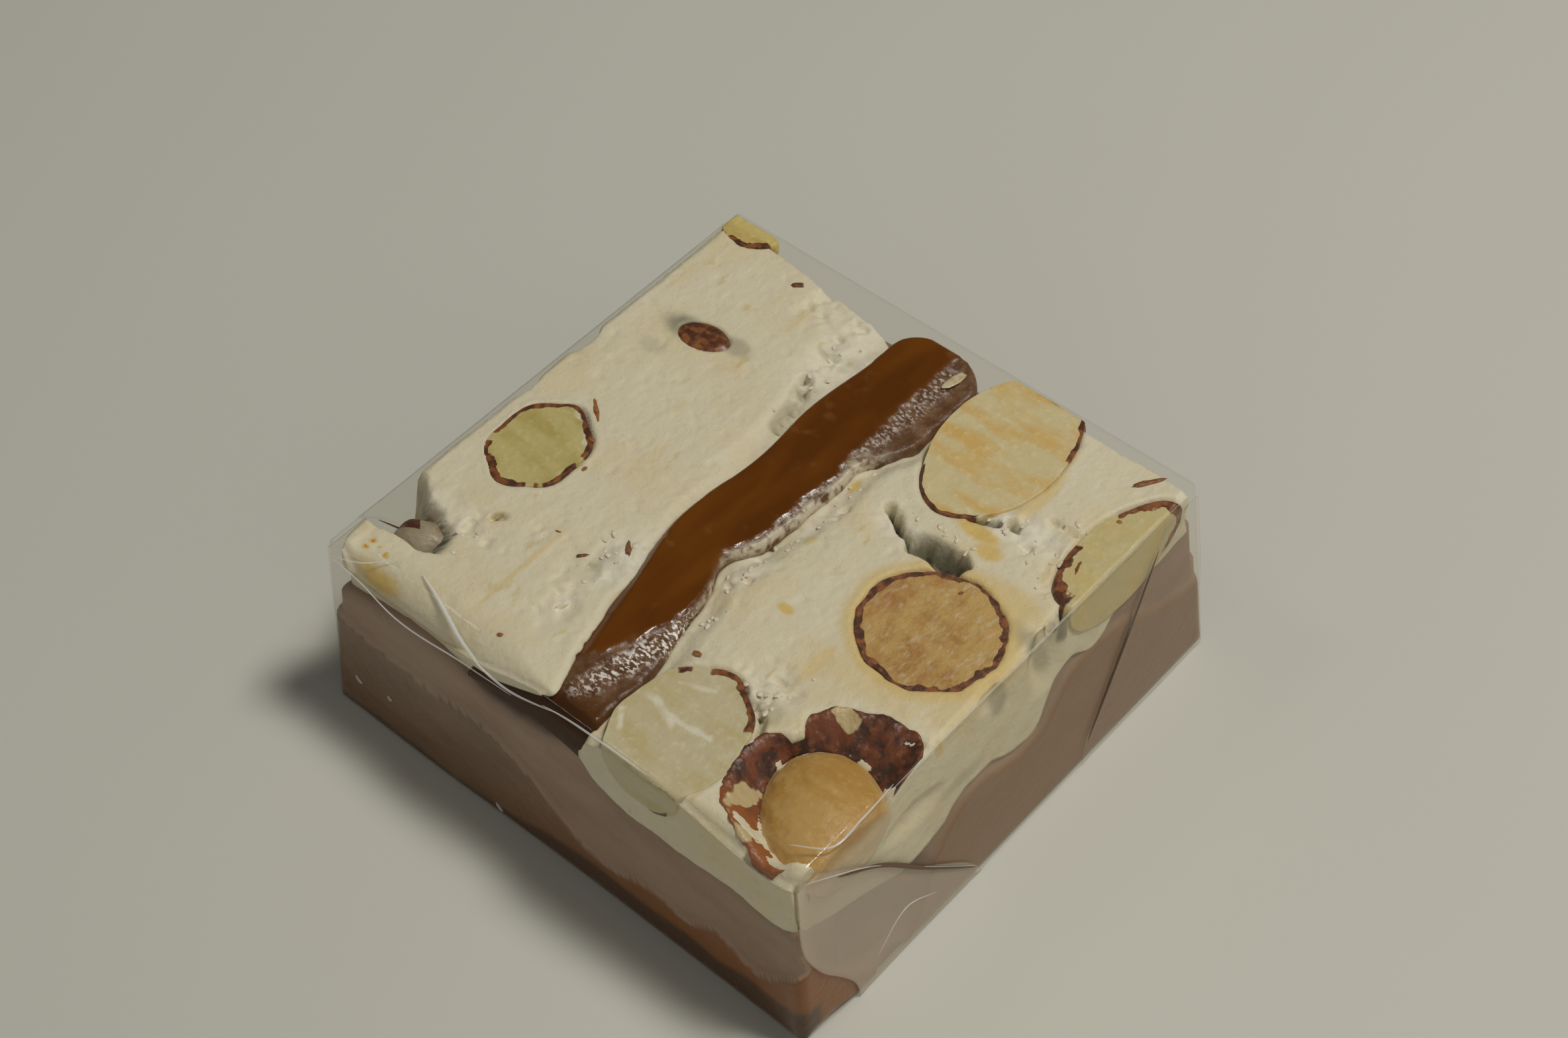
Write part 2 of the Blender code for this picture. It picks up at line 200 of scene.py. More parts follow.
class Surface:
    """A material in the making: its Principled shader, and short ways to add the nodes that feed it."""

    def __init__(self, name, sockets):
        self.material = bpy.data.materials.new(name)
        self.material.use_nodes = True
        self.tree = self.material.node_tree
        self.shader = self.tree.nodes["Principled BSDF"]
        self.place = self.add("ShaderNodeTexCoord").outputs["Object"]
        self.fill(self.shader, sockets)

    def fill(self, node, inputs):
        for label, value in inputs.items():
            if isinstance(value, bpy.types.NodeSocket):
                self.tree.links.new(value, node.inputs[label])
            else:
                node.inputs[label].default_value = value

    def add(self, kind, inputs=None, **settings):
        node = self.tree.nodes.new(kind)
        for label, value in settings.items():
            setattr(node, label, value)
        self.fill(node, inputs or {})
        return node

    def field(self, label):
        """The number that the mesh stores under this name."""
        return self.add("ShaderNodeAttribute", attribute_name=label).outputs["Fac"]

    def grain(self, size, detail=2.0, stretch=(1.0, 1.0, 1.0), turn=0.0):
        """Noise with lumps `size` mm across, longer along an axis whose stretch is below 1."""
        mapped = self.add("ShaderNodeMapping", {"Vector": self.place, "Scale": stretch})
        mapped.inputs["Rotation"].default_value = (0.0, 0.0, math.radians(turn))
        scale = 1.0 / (size * MM)
        noise = self.add("ShaderNodeTexNoise", {"Vector": mapped.outputs["Vector"], "Scale": scale, "Detail": detail})
        return noise.outputs["Fac"]

    def cells(self, size):
        """Distance from the nearest of scattered points about `size` mm apart."""
        scale = 1.0 / (size * MM)
        return self.add("ShaderNodeTexVoronoi", {"Vector": self.place, "Scale": scale}).outputs["Distance"]

    def step(self, value, low, high, least=0.0, most=1.0):
        """Maps low to least and high to most, with a soft S between."""
        inputs = {"Value": value, "From Min": low, "From Max": high, "To Min": least, "To Max": most}
        return self.add("ShaderNodeMapRange", inputs, interpolation_type="SMOOTHSTEP").outputs["Result"]

    def times(self, first, second, operation="MULTIPLY"):
        node = self.add("ShaderNodeMath", operation=operation)
        self.fill(node, {0: first, 1: second})
        return node.outputs["Value"]

    def tint(self, share, first, second):
        """A colour between two, each a socket or three numbers."""
        node = self.add("ShaderNodeMix", data_type="RGBA")
        pair = [value if isinstance(value, bpy.types.NodeSocket) else (*value, 1.0) for value in (first, second)]
        self.fill(node, {0: share, 6: pair[0], 7: pair[1]})
        return node.outputs[2]

    def relief(self, height, depth, strength=1.0):
        """Bump of `depth` mm, laid over any bump made before."""
        node = self.add("ShaderNodeBump", {"Height": height, "Distance": depth * MM, "Strength": strength})
        old = self.shader.inputs["Normal"]
        if old.is_linked:
            self.tree.links.new(old.links[0].from_socket, node.inputs["Normal"])
        self.tree.links.new(node.outputs["Normal"], old)


RIGHT_CREST = ((-25, 12.2), (-22, 12.0), (-16, 10.4), (-12, 8.9), (-8.4, 9.2), (-5, 10.9), (-2.6, 11.1), (1.0, 9.6),
               (3.4, 9.7), (5.2, 12.6), (7.5, 13.9), (10, 12.5), (14.3, 14.6), (18.3, 14.3), (22.2, 14.8), (25, 14.8))


def foot_level(x, y):
    """Height of the foot's upper side: high at the left, a step under the caramel, waves to the right."""
    level = mix(14.6 + 0.07 * (x + 12.0), 12.6, smooth(1.0, 6.5, x))
    level = level - 0.7 * smooth(16.0, 24.0, x) * (1.0 - smooth(-8.0, -2.0, y))
    level = level - 1.2 * smooth(-13.0, -6.0, x) * smooth(3.0, -1.0, x) * smooth(-16.0, -20.0, y)
    level = level + 1.4 * smooth(8.0, 20.0, x) * smooth(4.0, 14.0, y)
    level = level + 0.35 * np.sin(0.34 * x + 0.7) * np.cos(0.29 * y)
    return mix(level, through(RIGHT_CREST, y), smooth(17.0, 23.5, x))


# Below these lines the chocolate lies on the film: along the front by X, along the right end by Y
FRONT_TIDE = ((-24.5, 10.5), (-18.3, 10.0), (-12, 9.8), (-7.8, 10.2), (-4.7, 9.1), (0.45, 6.2), (2.5, 4.7), (10.7, 5.5),
              (13.8, 5.1), (15.8, 6.3), (20.9, 5.2), (23, 6.9), (25, 8.6))
RIGHT_TIDE = ((-24.9, 10.4), (-23.2, 9.0), (-21.8, 6.8), (-20.2, 4.6), (-18.8, 2.6), (-11.5, 2.2), (-9.5, 5.8), (-7.9, 7.6),
              (-4.3, 9.6), (-0.8, 8.8), (1.2, 8.2), (4.3, 8.9), (7.4, 11.6), (13.5, 11.4), (18.5, 8.7), (23.6, 7.3))


def side_weights(across, along):
    """How much a point belongs to the left, right, front and back side: 1 on it, fading quickly inwards."""
    toward_x, toward_y = np.abs(across) ** 24, np.abs(along) ** 24
    return toward_x * (across < 0), toward_x * (across > 0), toward_y * (along < 0), toward_y * (along > 0)


def foot_gaps(x, y, z):
    """How far the foot stands back from the film on its left, right, front and back side."""
    ragged = 0.35 * clouds(x, y, z, 2.2, 3, 11)
    hidden = 9.5 + 1.6 * cloud(x, y, 0.0 * z, 7.0, 12)
    left = 0.5 * smooth(hidden, hidden + 0.9, z + ragged)
    back = 0.5 * smooth(hidden, hidden + 0.9, z + ragged)
    tide = through(FRONT_TIDE, x)
    front = 0.42 * smooth(tide, tide + 0.7, z + 0.5 * ragged)
    tide = through(RIGHT_TIDE, y)
    tucked = smooth(-20.0, -18.4, y) * smooth(-9.3, -12.0, y)
    right = (0.4 + 1.0 * tucked) * smooth(tide, tide + 0.8, z + 0.5 * ragged)
    return left, right, front, back


def base_round(x, y, nearest):
    """How far the underside has risen near the sides: widely rounded along the front, tight elsewhere."""
    wide = 0.5 + 0.9 * smooth(-18.0, -22.0, y) * smooth(-16.0, 6.0, x)
    return quarter(nearest, wide)


def make_foot():
    """The foot: a rounded slab, its sides pulled in by the gaps, its rim and base eased."""
    u, v, w, faces = block_skin((140, 140, 42))
    across, along = 2.0 * u - 1.0, 2.0 * v - 1.0
    half_x, half_y = wrap_half(6.0)
    flat_x, flat_y = round_plan(across, along, half_x, half_y, CORNER)
    rim = 0.25 * clouds(flat_x, flat_y, 0.0 * flat_x, 3.0, 3, 21)
    nearest = np.minimum(half_x - np.abs(flat_x), half_y - np.abs(flat_y))
    crept = 0.35 - 0.35 * smooth(-16.0, -9.0, flat_x) * smooth(6.0, 1.0, flat_x)
    top = foot_level(flat_x, flat_y) + crept + rim - quarter(nearest, 0.8)
    low = FILM + TOUCH + base_round(flat_x, flat_y, nearest)
    z = mix(low, top, w)
    half_x, half_y = wrap_half(z)
    x, y = round_plan(across, along, half_x, half_y, CORNER)
    weights = side_weights(across, along)
    left, right, front, back = (weight * gap for weight, gap in zip(weights, foot_gaps(x, y, z)))
    x, y = x + left - right, y + front - back
    bare = np.clip((left + right + front + back) / 0.35, 0.0, 1.0)
    # Painted shade: the rounded underside along the front, wider to the right, is coloured near-black brown where shade
    # falls under the bar.
    under = 0.9 + 2.7 * smooth(-10.0, 4.0, x) + 0.7 * clouds(x, y, z, 4.0, 3, 17)
    under = smooth(under + 0.5, under - 0.3, z) * smooth(-22.0, -23.0, y)
    wet = smooth(-10.0, 14.0, x) * smooth(-22.0, -23.0, y)
    wet = np.maximum(wet, smooth(21.0, 23.0, x) * smooth(-15.0, -19.0, y))
    # Painted light: the chocolate at the right end is coloured lighter and warmer, where the lamp falls on that end.
    lit = smooth(20.0, 23.0, x)
    # Painted highlight: a pale line along the front tide, where the chocolate steps back from the film.
    ridge = smooth(0.35, 0.0, np.abs(front - 0.12)) * weights[2] * (front > 0.02)
    points = np.stack((x, y, z), axis=-1)
    return make_piece("chocolate_foot", points, faces, chocolate_surface(), bare=bare, under=under, wet=wet, ridge=ridge, lit=lit)


def chocolate_surface():
    """Dark and satin on the film, paler, pinker and duller off it, with faint streaks and fine pores.
    Off the film the paler colour is partly a dull bloom, partly the film's hazy reflection over the gap painted in;
    the underside band is painted shade, the front tide line a painted highlight and the right end painted light.
    """
    made = Surface("milk_chocolate", {"Specular IOR Level": 0.4, "Subsurface Weight": 0.0})
    bare = made.field("bare")
    streaks = made.grain(3.5, 3.0, (0.35, 0.35, 1.0))
    dark = made.tint(made.step(streaks, 0.3, 0.7), (0.148, 0.076, 0.034), (0.192, 0.108, 0.054))
    # painted light on the right end
    dark = made.tint(made.field("lit"), dark, made.tint(streaks, (0.212, 0.102, 0.038), (0.265, 0.138, 0.060)))
    dark = made.tint(made.field("wet"), dark, (0.225, 0.078, 0.012))
    # Off the film: partly a dull bloom, partly painted haze of the film's reflection over the gap.
    dull = made.tint(made.step(streaks, 0.35, 0.65), (0.285, 0.180, 0.110), (0.345, 0.235, 0.155))
    speckle = made.step(made.grain(0.5, 3.0), 0.5, 0.75, 0.0, 0.35)
    dull = made.tint(speckle, dull, (0.36, 0.28, 0.22))
    # painted shade on the underside band
    body = made.tint(made.field("under"), made.tint(bare, dark, dull), (0.075, 0.031, 0.010))
    # painted highlight along the front tide line
    body = made.tint(made.times(made.field("ridge"), 0.55), body, (0.50, 0.38, 0.29))
    made.fill(made.shader, {"Base Color": body, "Roughness": made.step(bare, 0.0, 1.0, 0.30, 0.62)})
    made.relief(made.grain(0.6, 4.0), 0.05)
    made.relief(made.grain(3.0, 2.0), 0.12)
    return made.material


foot = make_foot()
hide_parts("chocolate_base")


# ---------------------------------------------------------------------------------------
# Almonds. Whole kernels were stirred into the hot nougat. The slab knife cut most of them
# across, so that pale flesh shows inside a thin brown skin. One lies whole at the front
# right corner, blanched of its skin, which is still wrapped round it.

ALMOND_LOOKS = {
    # half sizes (long, wide, deep), turn in degrees, narrowing, flesh, deep flesh, sides (count, depth)
    "almond_left": ((4.7, 3.9, 3.1), 97, 0.05, (0.54, 0.46, 0.19), (0.46, 0.37, 0.12), (6, 0.035)),
    "almond_buried": ((3.3, 1.9, 1.5), 10, 0.3, (0.13, 0.035, 0.012), (0.26, 0.07, 0.02), (3, 0.02)),
    "almond_back_left": ((2.7, 1.9, 2.6), 5, 0.1, (0.62, 0.50, 0.18), (0.52, 0.38, 0.12), (5, 0.03)),
    "almond_back": ((8.4, 5.2, 4.0), 92, 0.0, (0.64, 0.54, 0.30), (0.64, 0.43, 0.14), (4, 0.012)),
    "almond_toasted": ((5.8, 5.5, 4.4), 172, 0.05, (0.50, 0.31, 0.10), (0.38, 0.19, 0.045), (9, 0.012)),
    "almond_front": ((6.5, 4.9, 4.0), 95, 0.0, (0.57, 0.50, 0.31), (0.53, 0.44, 0.21), (7, 0.02)),
    "almond_whole": ((5.8, 4.7, 3.3), 140, 0.05, (0.53, 0.33, 0.105), (0.47, 0.26, 0.06), (2, 0.0)),
    "almond_right": ((7.1, 2.9, 4.0), 87, 0.2, (0.56, 0.48, 0.24), (0.60, 0.47, 0.20), (3, 0.02)),
    "almond_notch": ((2.3, 1.7, 1.3), 20, 0.15, (0.36, 0.30, 0.20), (0.24, 0.18, 0.11), (5, 0.05)),
}
CROWN = 2.5  # the whole kernel's dome, above its widest level
RIPPLE = 0.03


def chamfer(x):
    """Radius of the film's front upper edge: wide over the left block's rounded front and the right corner."""
    return 0.55 + 2.5 * smooth(-23.5, -19.0, x) * smooth(0.0, -9.0, x) + 1.3 * smooth(11.0, 20.0, x)


def wrap_top(x, y):
    """Height of the film's upper side: flat, with its edges rolled over."""
    half_x, half_y = wrap_half(SLEEVE_TOP)
    side = np.minimum(half_x - np.abs(x), half_y - y)
    return SLEEVE_TOP - quarter(np.maximum(side, 0.0), 0.35) - quarter(np.maximum(half_y + y, 0.0), chamfer(x))


def almond_middle(name):
    """A kernel's middle, measured from those of its solid's edges that the knife left whole."""
    (long, wide, deep), turn = ALMOND_LOOKS[name][:2]
    low, high = span(name)
    cosine, sine = math.cos(math.radians(turn)), math.sin(math.radians(turn))
    reach_x, reach_y = math.hypot(long * cosine, wide * sine), math.hypot(long * sine, wide * cosine)
    x = low[0] + reach_x if abs(low[0]) < abs(high[0]) else high[0] - reach_x
    y = low[1] + reach_y if abs(low[1]) < abs(high[1]) else high[1] - reach_y
    return np.array((x, y, low[2] + deep))


def crown_share(name, tall):
    """The whole kernel's upper half is lower than its lower half."""
    if name != "almond_whole":
        return 1.0
    return np.where(tall > 0.0, CROWN / ALMOND_LOOKS[name][0][2], 1.0)


def sides(name, angle):
    """Swell of a kernel's outline: a few flattish sides round it."""
    count, depth = ALMOND_LOOKS[name][5]
    return 1.0 + depth * np.cos(count * angle + 0.6)


ALMOND_MIDDLES = {name: almond_middle(name) for name in ALMOND_LOOKS}


def in_almond(name, x, y, z):
    """A point in a kernel's own directions, as shares of its half sizes: 1 from the middle is its skin."""
    half, turn, narrow = ALMOND_LOOKS[name][:3]
    middle = ALMOND_MIDDLES[name]
    cosine, sine = math.cos(math.radians(turn)), math.sin(math.radians(turn))
    long = ((x - middle[0]) * cosine + (y - middle[1]) * sine) / half[0]
    wide = ((y - middle[1]) * cosine - (x - middle[0]) * sine) / half[1]
    taper = 1.0 - narrow * np.maximum(long, 0.0) ** 2
    tall = (z - middle[2]) / (half[2] * taper)
    swell = sides(name, np.arctan2(wide, long))
    return long / swell, wide / (taper * swell), tall / crown_share(name, tall)


def almond_depth(name, x, y, z):
    """Distance from a kernel's middle, 1 at its skin."""
    return np.sqrt(sum(part * part for part in in_almond(name, x, y, z)))


def flesh_surface(name, flesh, deep, bare):
    """Almond flesh: streaks along the kernel, fine grain, waxy gloss; wrinkled brown skin where it is left."""
    turn = ALMOND_LOOKS[name][1]
    made = Surface(name + "_flesh", {"Specular IOR Level": 0.45, "Subsurface Radius": (0.9, 0.6, 0.3)})
    made.fill(made.shader, {"Subsurface Scale": 0.8 * MM, "Subsurface Weight": 0.15})
    streaks = made.grain(1.6, 3.0, (0.25, 1.0, 1.0), -turn)
    fine = made.grain(0.45, 3.0)
    body = made.tint(made.step(streaks, 0.38, 0.66), flesh, deep)
    pale = tuple(min(1.0, 1.18 * part + 0.05) for part in flesh)
    body = made.tint(made.step(fine, 0.55, 0.8, 0.0, 0.5), body, pale)
    skin = made.field("skin")
    brown = made.tint(made.step(made.grain(0.7, 3.0), 0.4, 0.65), (0.085, 0.030, 0.014), (0.27, 0.095, 0.028))
    edge = made.step(made.times(skin, made.times(made.grain(0.35, 3.0), 0.4), "ADD"), 0.5, 0.85)
    if bare:
        body = made.tint(made.step(made.grain(1.3, 4.0, (1.0, 0.35, 1.0), -8.0), 0.42, 0.64, 0.0, 0.8), body, (0.54, 0.36, 0.12))
        body = made.tint(made.step(made.grain(0.45, 4.0, (1.0, 0.4, 1.0), -8.0), 0.54, 0.70, 0.0, 0.45), body, (0.62, 0.53, 0.37))
        body = made.tint(made.step(made.grain(2.2, 2.0), 0.56, 0.74, 0.0, 0.6), body, (0.40, 0.17, 0.04))
    # nougat smears, and painted light on the whole kernel's lower part
    body = made.tint(made.field("smear"), body, (0.80, 0.76, 0.62))
    made.fill(made.shader, {"Base Color": made.tint(edge, body, brown)})
    made.fill(made.shader, {"Roughness": made.step(fine, 0.3, 0.7, 0.34 + 0.2 * bare, 0.52 + 0.2 * bare)})
    made.relief(fine, 0.05 + 0.08 * bare)
    made.relief(streaks, 0.10)
    made.relief(edge, 0.06)
    return made.material


SKIN_ARCS = {
    # angles in plan between which a kernel's skin is left, in degrees, and the band's width in mm
    "almond_left": (((20, 200), 0.34), ((215, 300), 0.40), ((-40, 5), 0.30)),
    "almond_buried": (((-180, 180), 0.6),),
    "almond_back_left": (((-120, -10), 0.35),),
    "almond_back": (((22, 68), 0.34), ((-122, -68), 0.14)),
    "almond_toasted": (((-180, 180), 0.46),),
    "almond_front": (((42, 106), 0.40), ((122, 130), 0.35), ((-75, -58), 0.20)),
    "almond_whole": (),
    "almond_right": (((80, 125), 0.40), ((-150, -90), 0.45)),
    "almond_notch": (((140, 200), 0.22),),
}


def skin_left(name, x, y, depth):
    """Where a kernel's rim is still brown: bands of ragged width between angles in plan."""
    middle = ALMOND_MIDDLES[name]
    angle = np.degrees(np.arctan2(y - middle[1], x - middle[0]))
    ragged = 1.0 + 0.8 * clouds(x, y, 0.0 * x, 0.9, 3, 65)
    most = np.zeros(len(x))
    for (start, end), width in SKIN_ARCS[name]:
        away = np.abs((angle - (start + end) / 2.0 + 180.0) % 360.0 - 180.0) - (end - start) / 2.0
        band = smooth(1.15, 0.75, depth / np.maximum(width * ragged, 0.02))
        most = np.maximum(most, band * smooth(5.0, -3.0, away))
    return most


def make_almond(name, cells):
    """A kernel: a globe stretched to its half sizes, rippled, then pressed flat on the knife's planes."""
    half, turn, narrow, flesh, deep = ALMOND_LOOKS[name][:5]
    u, v, w, faces = block_skin((cells, cells, cells))
    cube = np.stack((u, v, w), axis=-1) * 2.0 - 1.0
    ball = np.tan(cube * math.pi / 4.0)
    ball /= np.linalg.norm(ball, axis=-1, keepdims=True)
    seed = 40 + list(ALMOND_LOOKS).index(name)
    crinkle = 0.035 if name == "almond_toasted" else 0.012
    swell = 1.0 + RIPPLE * clouds(*(2.0 * ball.T), 1.0, 3, seed) + crinkle * cloud(*(8.0 * ball.T), 1.0, seed + 7)
    long, wide, tall = ball.T * swell
    outline = sides(name, np.arctan2(wide, long))
    long, wide, tall = long * outline, wide * outline, tall * crown_share(name, tall)
    taper = 1.0 - narrow * np.maximum(long, 0.0) ** 2
    cosine, sine = math.cos(math.radians(turn)), math.sin(math.radians(turn))
    long, wide, tall = long * half[0], wide * taper * half[1], tall * taper * half[2]
    middle = ALMOND_MIDDLES[name]
    x = middle[0] + long * cosine - wide * sine
    y = middle[1] + long * sine + wide * cosine
    z = middle[2] + tall
    relief = 0.05 + 0.05 * clouds(x, y, 0.0 * z, 1.1, 3, seed + 30)
    half_x, half_y = wrap_half(z)
    x = np.clip(x, -half_x + relief, half_x - relief)
    y = np.clip(y, -half_y + relief, np.minimum(half_y, 22.95) - relief)
    z = np.minimum(z, wrap_top(x, y) - FILM - TOUCH - relief)
    depth = (1.0 - almond_depth(name, x, y, z) / swell) * min(half[0], half[1])
    skin = skin_left(name, x, y, depth)
    smear = almond_smears(name, x, y, z)
    points = np.stack((x, y, z), axis=-1)
    bare = 1.0 if name == "almond_toasted" else 0.0
    piece = make_piece(name + "_kernel", points, faces, flesh_surface(name, flesh, deep, bare), skin=skin, smear=smear)
    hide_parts(name)
    return piece


def bent_line_reach(x, y, route):
    """Distance in a plane to the nearest point of a bent line, stretch by stretch."""
    nearest = np.full(np.shape(x), 1e9)
    for (from_x, from_y), (to_x, to_y) in zip(route, route[1:]):
        run = (to_x - from_x) ** 2 + (to_y - from_y) ** 2
        share = np.clip(((x - from_x) * (to_x - from_x) + (y - from_y) * (to_y - from_y)) / run, 0.0, 1.0)
        away = np.hypot(x - mix(from_x, to_x, share), y - mix(from_y, to_y, share))
        nearest = np.minimum(nearest, away)
    return nearest


SMEARS = {
    # white nougat dragged over the cut kernels by the knife: bent lines in plan and their half width
    "almond_left": ((((-15.3, -3.3), (-16.6, -2.0), (-17.8, -1.8)), 0.3),),
    "almond_front": ((((5.0, -17.6), (7.4, -18.4), (11.0, -18.0)), 0.26), (((5.9, -15.7), (8.5, -14.6)), 0.16), (((7.6, -18.6), (9.8, -19.6)), 0.2), (((4.3, -20.0), (5.5, -21.5)), 0.25),),
}


def almond_smears(name, x, y, z):
    """Where nougat is dragged over a kernel: near its smear lines, with a ragged edge. On the whole kernel it is
    painted light instead: its lower part is coloured paler.
    """
    smear = np.zeros(len(x))
    for route, half_width in SMEARS.get(name, ()):
        ragged = half_width * (1.0 + 0.9 * clouds(x, y, z, 0.7, 3, 91) + 1.3 * clouds(x, y, z, 1.9, 2, 92))
        smear = np.maximum(smear, smooth(1.5, 0.5, bent_line_reach(x, y, route) / np.maximum(ragged, 0.02)))
    # Painted light: the whole kernel's lower part is coloured paler, as if lit more where it tilts away from the lamp.
    if name == "almond_whole":
        return 0.40 * smooth(17.8, 16.2, z)
    patchy = smooth(-0.30, 0.35, clouds(x, y, z, 1.3, 3, 93))
    return 0.62 * smear * patchy * smooth(17.2, 18.3, z)


for name, look in ALMOND_LOOKS.items():
    make_almond(name, int(20 + 5.0 * max(look[0])))


# The whole almond's own skin, split and peeled back: a ring of brown leaf, wide behind and to the
# left, torn through between. Its outer edge is given by angle from the kernel's middle.
SKIN_REACH = ((-180, 7.2), (-165, 7.2), (-153, 7.2), (-142, 7.0), (-117, 6.4), (-90, 6.6), (-72, 5.6), (-40, 5.2), (20, 5.2),
              (40, 5.7), (53, 6.4), (66, 7.7), (77, 8.7), (85, 8.7), (97, 8.6), (110, 8.3), (122, 8.1), (133, 7.6), (141, 7.2),
              (146, 5.4), (152, 5.4), (157, 6.3), (164, 6.9), (180, 7.1))


def cup_top(x, y):
    """The hollow that the whole kernel came away from: its wall slopes down to the kernel from the top."""
    middle = ALMOND_MIDDLES["almond_whole"]
    away = np.hypot(x - middle[0], y - middle[1])
    angle = np.arctan2(y - middle[1], x - middle[0])
    outer = np.maximum(through(SKIN_REACH, np.degrees(angle)), kernel_reach(angle))
    return wrap_top(x, y) - FILM - TOUCH - 0.15 - 1.9 * smooth(outer + 0.3, kernel_reach(angle) - 0.4, away)


def kernel_reach(angle):
    """Distance from the whole kernel's middle to its outline: the radius of an ellipse at an angle."""
    (long, wide), turn = ALMOND_LOOKS["almond_whole"][0][:2], math.radians(ALMOND_LOOKS["almond_whole"][1])
    return 1.0 / np.hypot(np.cos(angle - turn) / long, np.sin(angle - turn) / wide)


def make_skin_ring():
    """The leaf of skin: a closed ring round the kernel whose section is a thin tapered lens."""
    around, across = 420, 40
    angle = np.linspace(-math.pi, math.pi, around, endpoint=False)[:, None]
    turn = np.linspace(0.0, 2.0 * math.pi, across, endpoint=False)[None, :]
    reach = (1.0 - np.cos(turn)) / 2.0 + 0.0 * angle
    side = np.sin(turn) + 0.0 * angle
    middle = ALMOND_MIDDLES["almond_whole"]
    flat_x, flat_y = 4.0 * np.cos(angle), 4.0 * np.sin(angle)
    outer = through(SKIN_REACH, np.degrees(angle)) + 0.5 * clouds(flat_x, flat_y, 0.0 * flat_x, 1.2, 4, 71)
    inner = kernel_reach(angle) - 0.25
    radius = mix(inner, np.maximum(outer, inner + 0.3), reach)
    x = middle[0] + radius * np.cos(angle)
    y = middle[1] + radius * np.sin(angle)
    half_x, half_y = wrap_half(SLEEVE_TOP)
    x = np.minimum(x, half_x - 0.25)
    y = np.maximum(y, -half_y + 0.25)
    crinkle = 0.20 * clouds(x, y, 0.0 * x, 1.0, 4, 73)
    z = cup_top(x, y) + crinkle + np.where(side > 0.0, 0.30, 1.6) * side
    z = z - 2.5 * smooth(half_x - 1.5, half_x - 0.4, x) * smooth(-12.0, -15.0, y)
    points = np.stack((x, y, z), axis=-1).reshape(-1, 3)
    row, column = np.meshgrid(np.arange(around), np.arange(across), indexing="ij")
    here, ahead = row * across, (row + 1) % around * across
    column_next = (column + 1) % across
    faces = np.stack((here + column, here + column_next, ahead + column_next, ahead + column), axis=-1)
    fleck = np.zeros(len(points))
    for at_x, at_y, reach_x, reach_y in ((17.1, -10.2, 1.3, 0.8), (15.5, -19.6, 0.8, 1.5), (17.8, -22.2, 0.9, 0.6), (14.6, -13.4, 0.5, 0.5)):
        away = np.hypot((points[:, 0] - at_x) / reach_x, (points[:, 1] - at_y) / reach_y)
        fleck = np.maximum(fleck, smooth(1.3, 0.5, away + 0.5 * clouds(*points.T, 0.8, 3, 75)))
    warm = smooth(-18.3, -21.2, points[:, 1])
    piece = make_piece("almond_skin_leaf", points, faces.reshape(-1, 4)[:, ::-1], skin_surface(), fleck=fleck, warm=warm)
    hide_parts("almond_skin")


def skin_surface():
    """Almond skin: mahogany, near black in its folds, orange where it is thin, pale where it has split."""
    made = Surface("almond_skin", {"Specular IOR Level": 0.5, "Roughness": 0.45})
    coarse = made.grain(1.3, 3.0)
    body = made.tint(made.step(coarse, 0.35, 0.62), (0.045, 0.020, 0.012), (0.17, 0.048, 0.016))
    body = made.tint(made.step(made.grain(0.7, 2.0), 0.55, 0.75, 0.0, 0.6), body, (0.28, 0.10, 0.03))
    body = made.tint(made.times(made.field("warm"), 0.75), body, (0.36, 0.12, 0.03))
    fleck = made.step(made.times(made.field("fleck"), made.times(made.grain(0.6, 3.0), 0.5), "ADD"), 0.6, 0.9)
    made.fill(made.shader, {"Base Color": made.tint(fleck, body, (0.52, 0.40, 0.20))})
    made.relief(made.grain(0.5, 3.0), 0.10)
    made.relief(coarse, 0.2)
    return made.material


make_skin_ring()


# ---------------------------------------------------------------------------------------
# Nougat blocks. Whipped honey, sugar and egg white, sawn from a slab. The sawn top is smooth
# with fine pores and drag marks; where it tore, it is crumbly. Soft flanks lean on the caramel.

NOUGAT_BACK = span("nougat_left")[1][1]


def caramel_left(y, z):
    """The strip's left edge: straight behind, drifting right in front, with a foot under the left block."""
    edge = -4.55 + 0.02 * y + 5.0 * smooth(-3.5, -24.5, y) + 0.25 * np.sin(0.45 * (y - 0.5))
    return edge - 9.0 * smooth(19.2, 15.4, z) * smooth(2.0, -20.0, y)


def caramel_right(y):
    """The strip's right edge: wide behind, waisted in the middle and wide again in front."""
    edge = 2.25 + 0.02 * y + 1.9 * smooth(7.5, 13.5, y) + 1.8 * smooth(-8.0, -18.0, y)
    return edge - 1.6 * bell(y, -5.2, 2.2)


NOTCH_ROUTE = ((-27.0, -16.6), (-23.4, -16.9), (-20.5, -17.3), (-18.2, -17.6))
TEARS = (
    # bent line in plan, half width, depth
    (((7.0, 6.7), (9.0, 5.6), (10.9, 5.1)), 0.40, 2.2),
    (((10.9, 5.1), (12.5, 5.4), (14.4, 5.7)), 1.05, 3.0),
    (((12.4, 9.6), (13.4, 10.2), (14.2, 10.6)), 0.30, 1.6),
    (((14.9, 11.4), (15.5, 11.1)), 0.32, 1.6),
    (((17.2, 13.4), (19.0, 13.5), (20.6, 13.4)), 0.22, 0.8),
    (((22.5, 10.2), (22.9, 8.2), (23.6, 5.6)), 0.35, 1.8),
    (((20.9, 15.6), (21.2, 13.4), (21.8, 11.6)), 0.25, 1.2),
    (((-15.6, -13.4), (-15.2, -13.0)), 0.30, 0.9),
    (((-17.6, -18.0), (-16.8, -18.3)), 0.50, 3.4),
    (((-6.9, 12.6), (-5.9, 10.1), (-5.4, 7.7)), 0.65, 0.9),
    (((11.2, -13.6), (12.7, -14.4), (13.4, -15.5)), 0.25, 0.8),
)
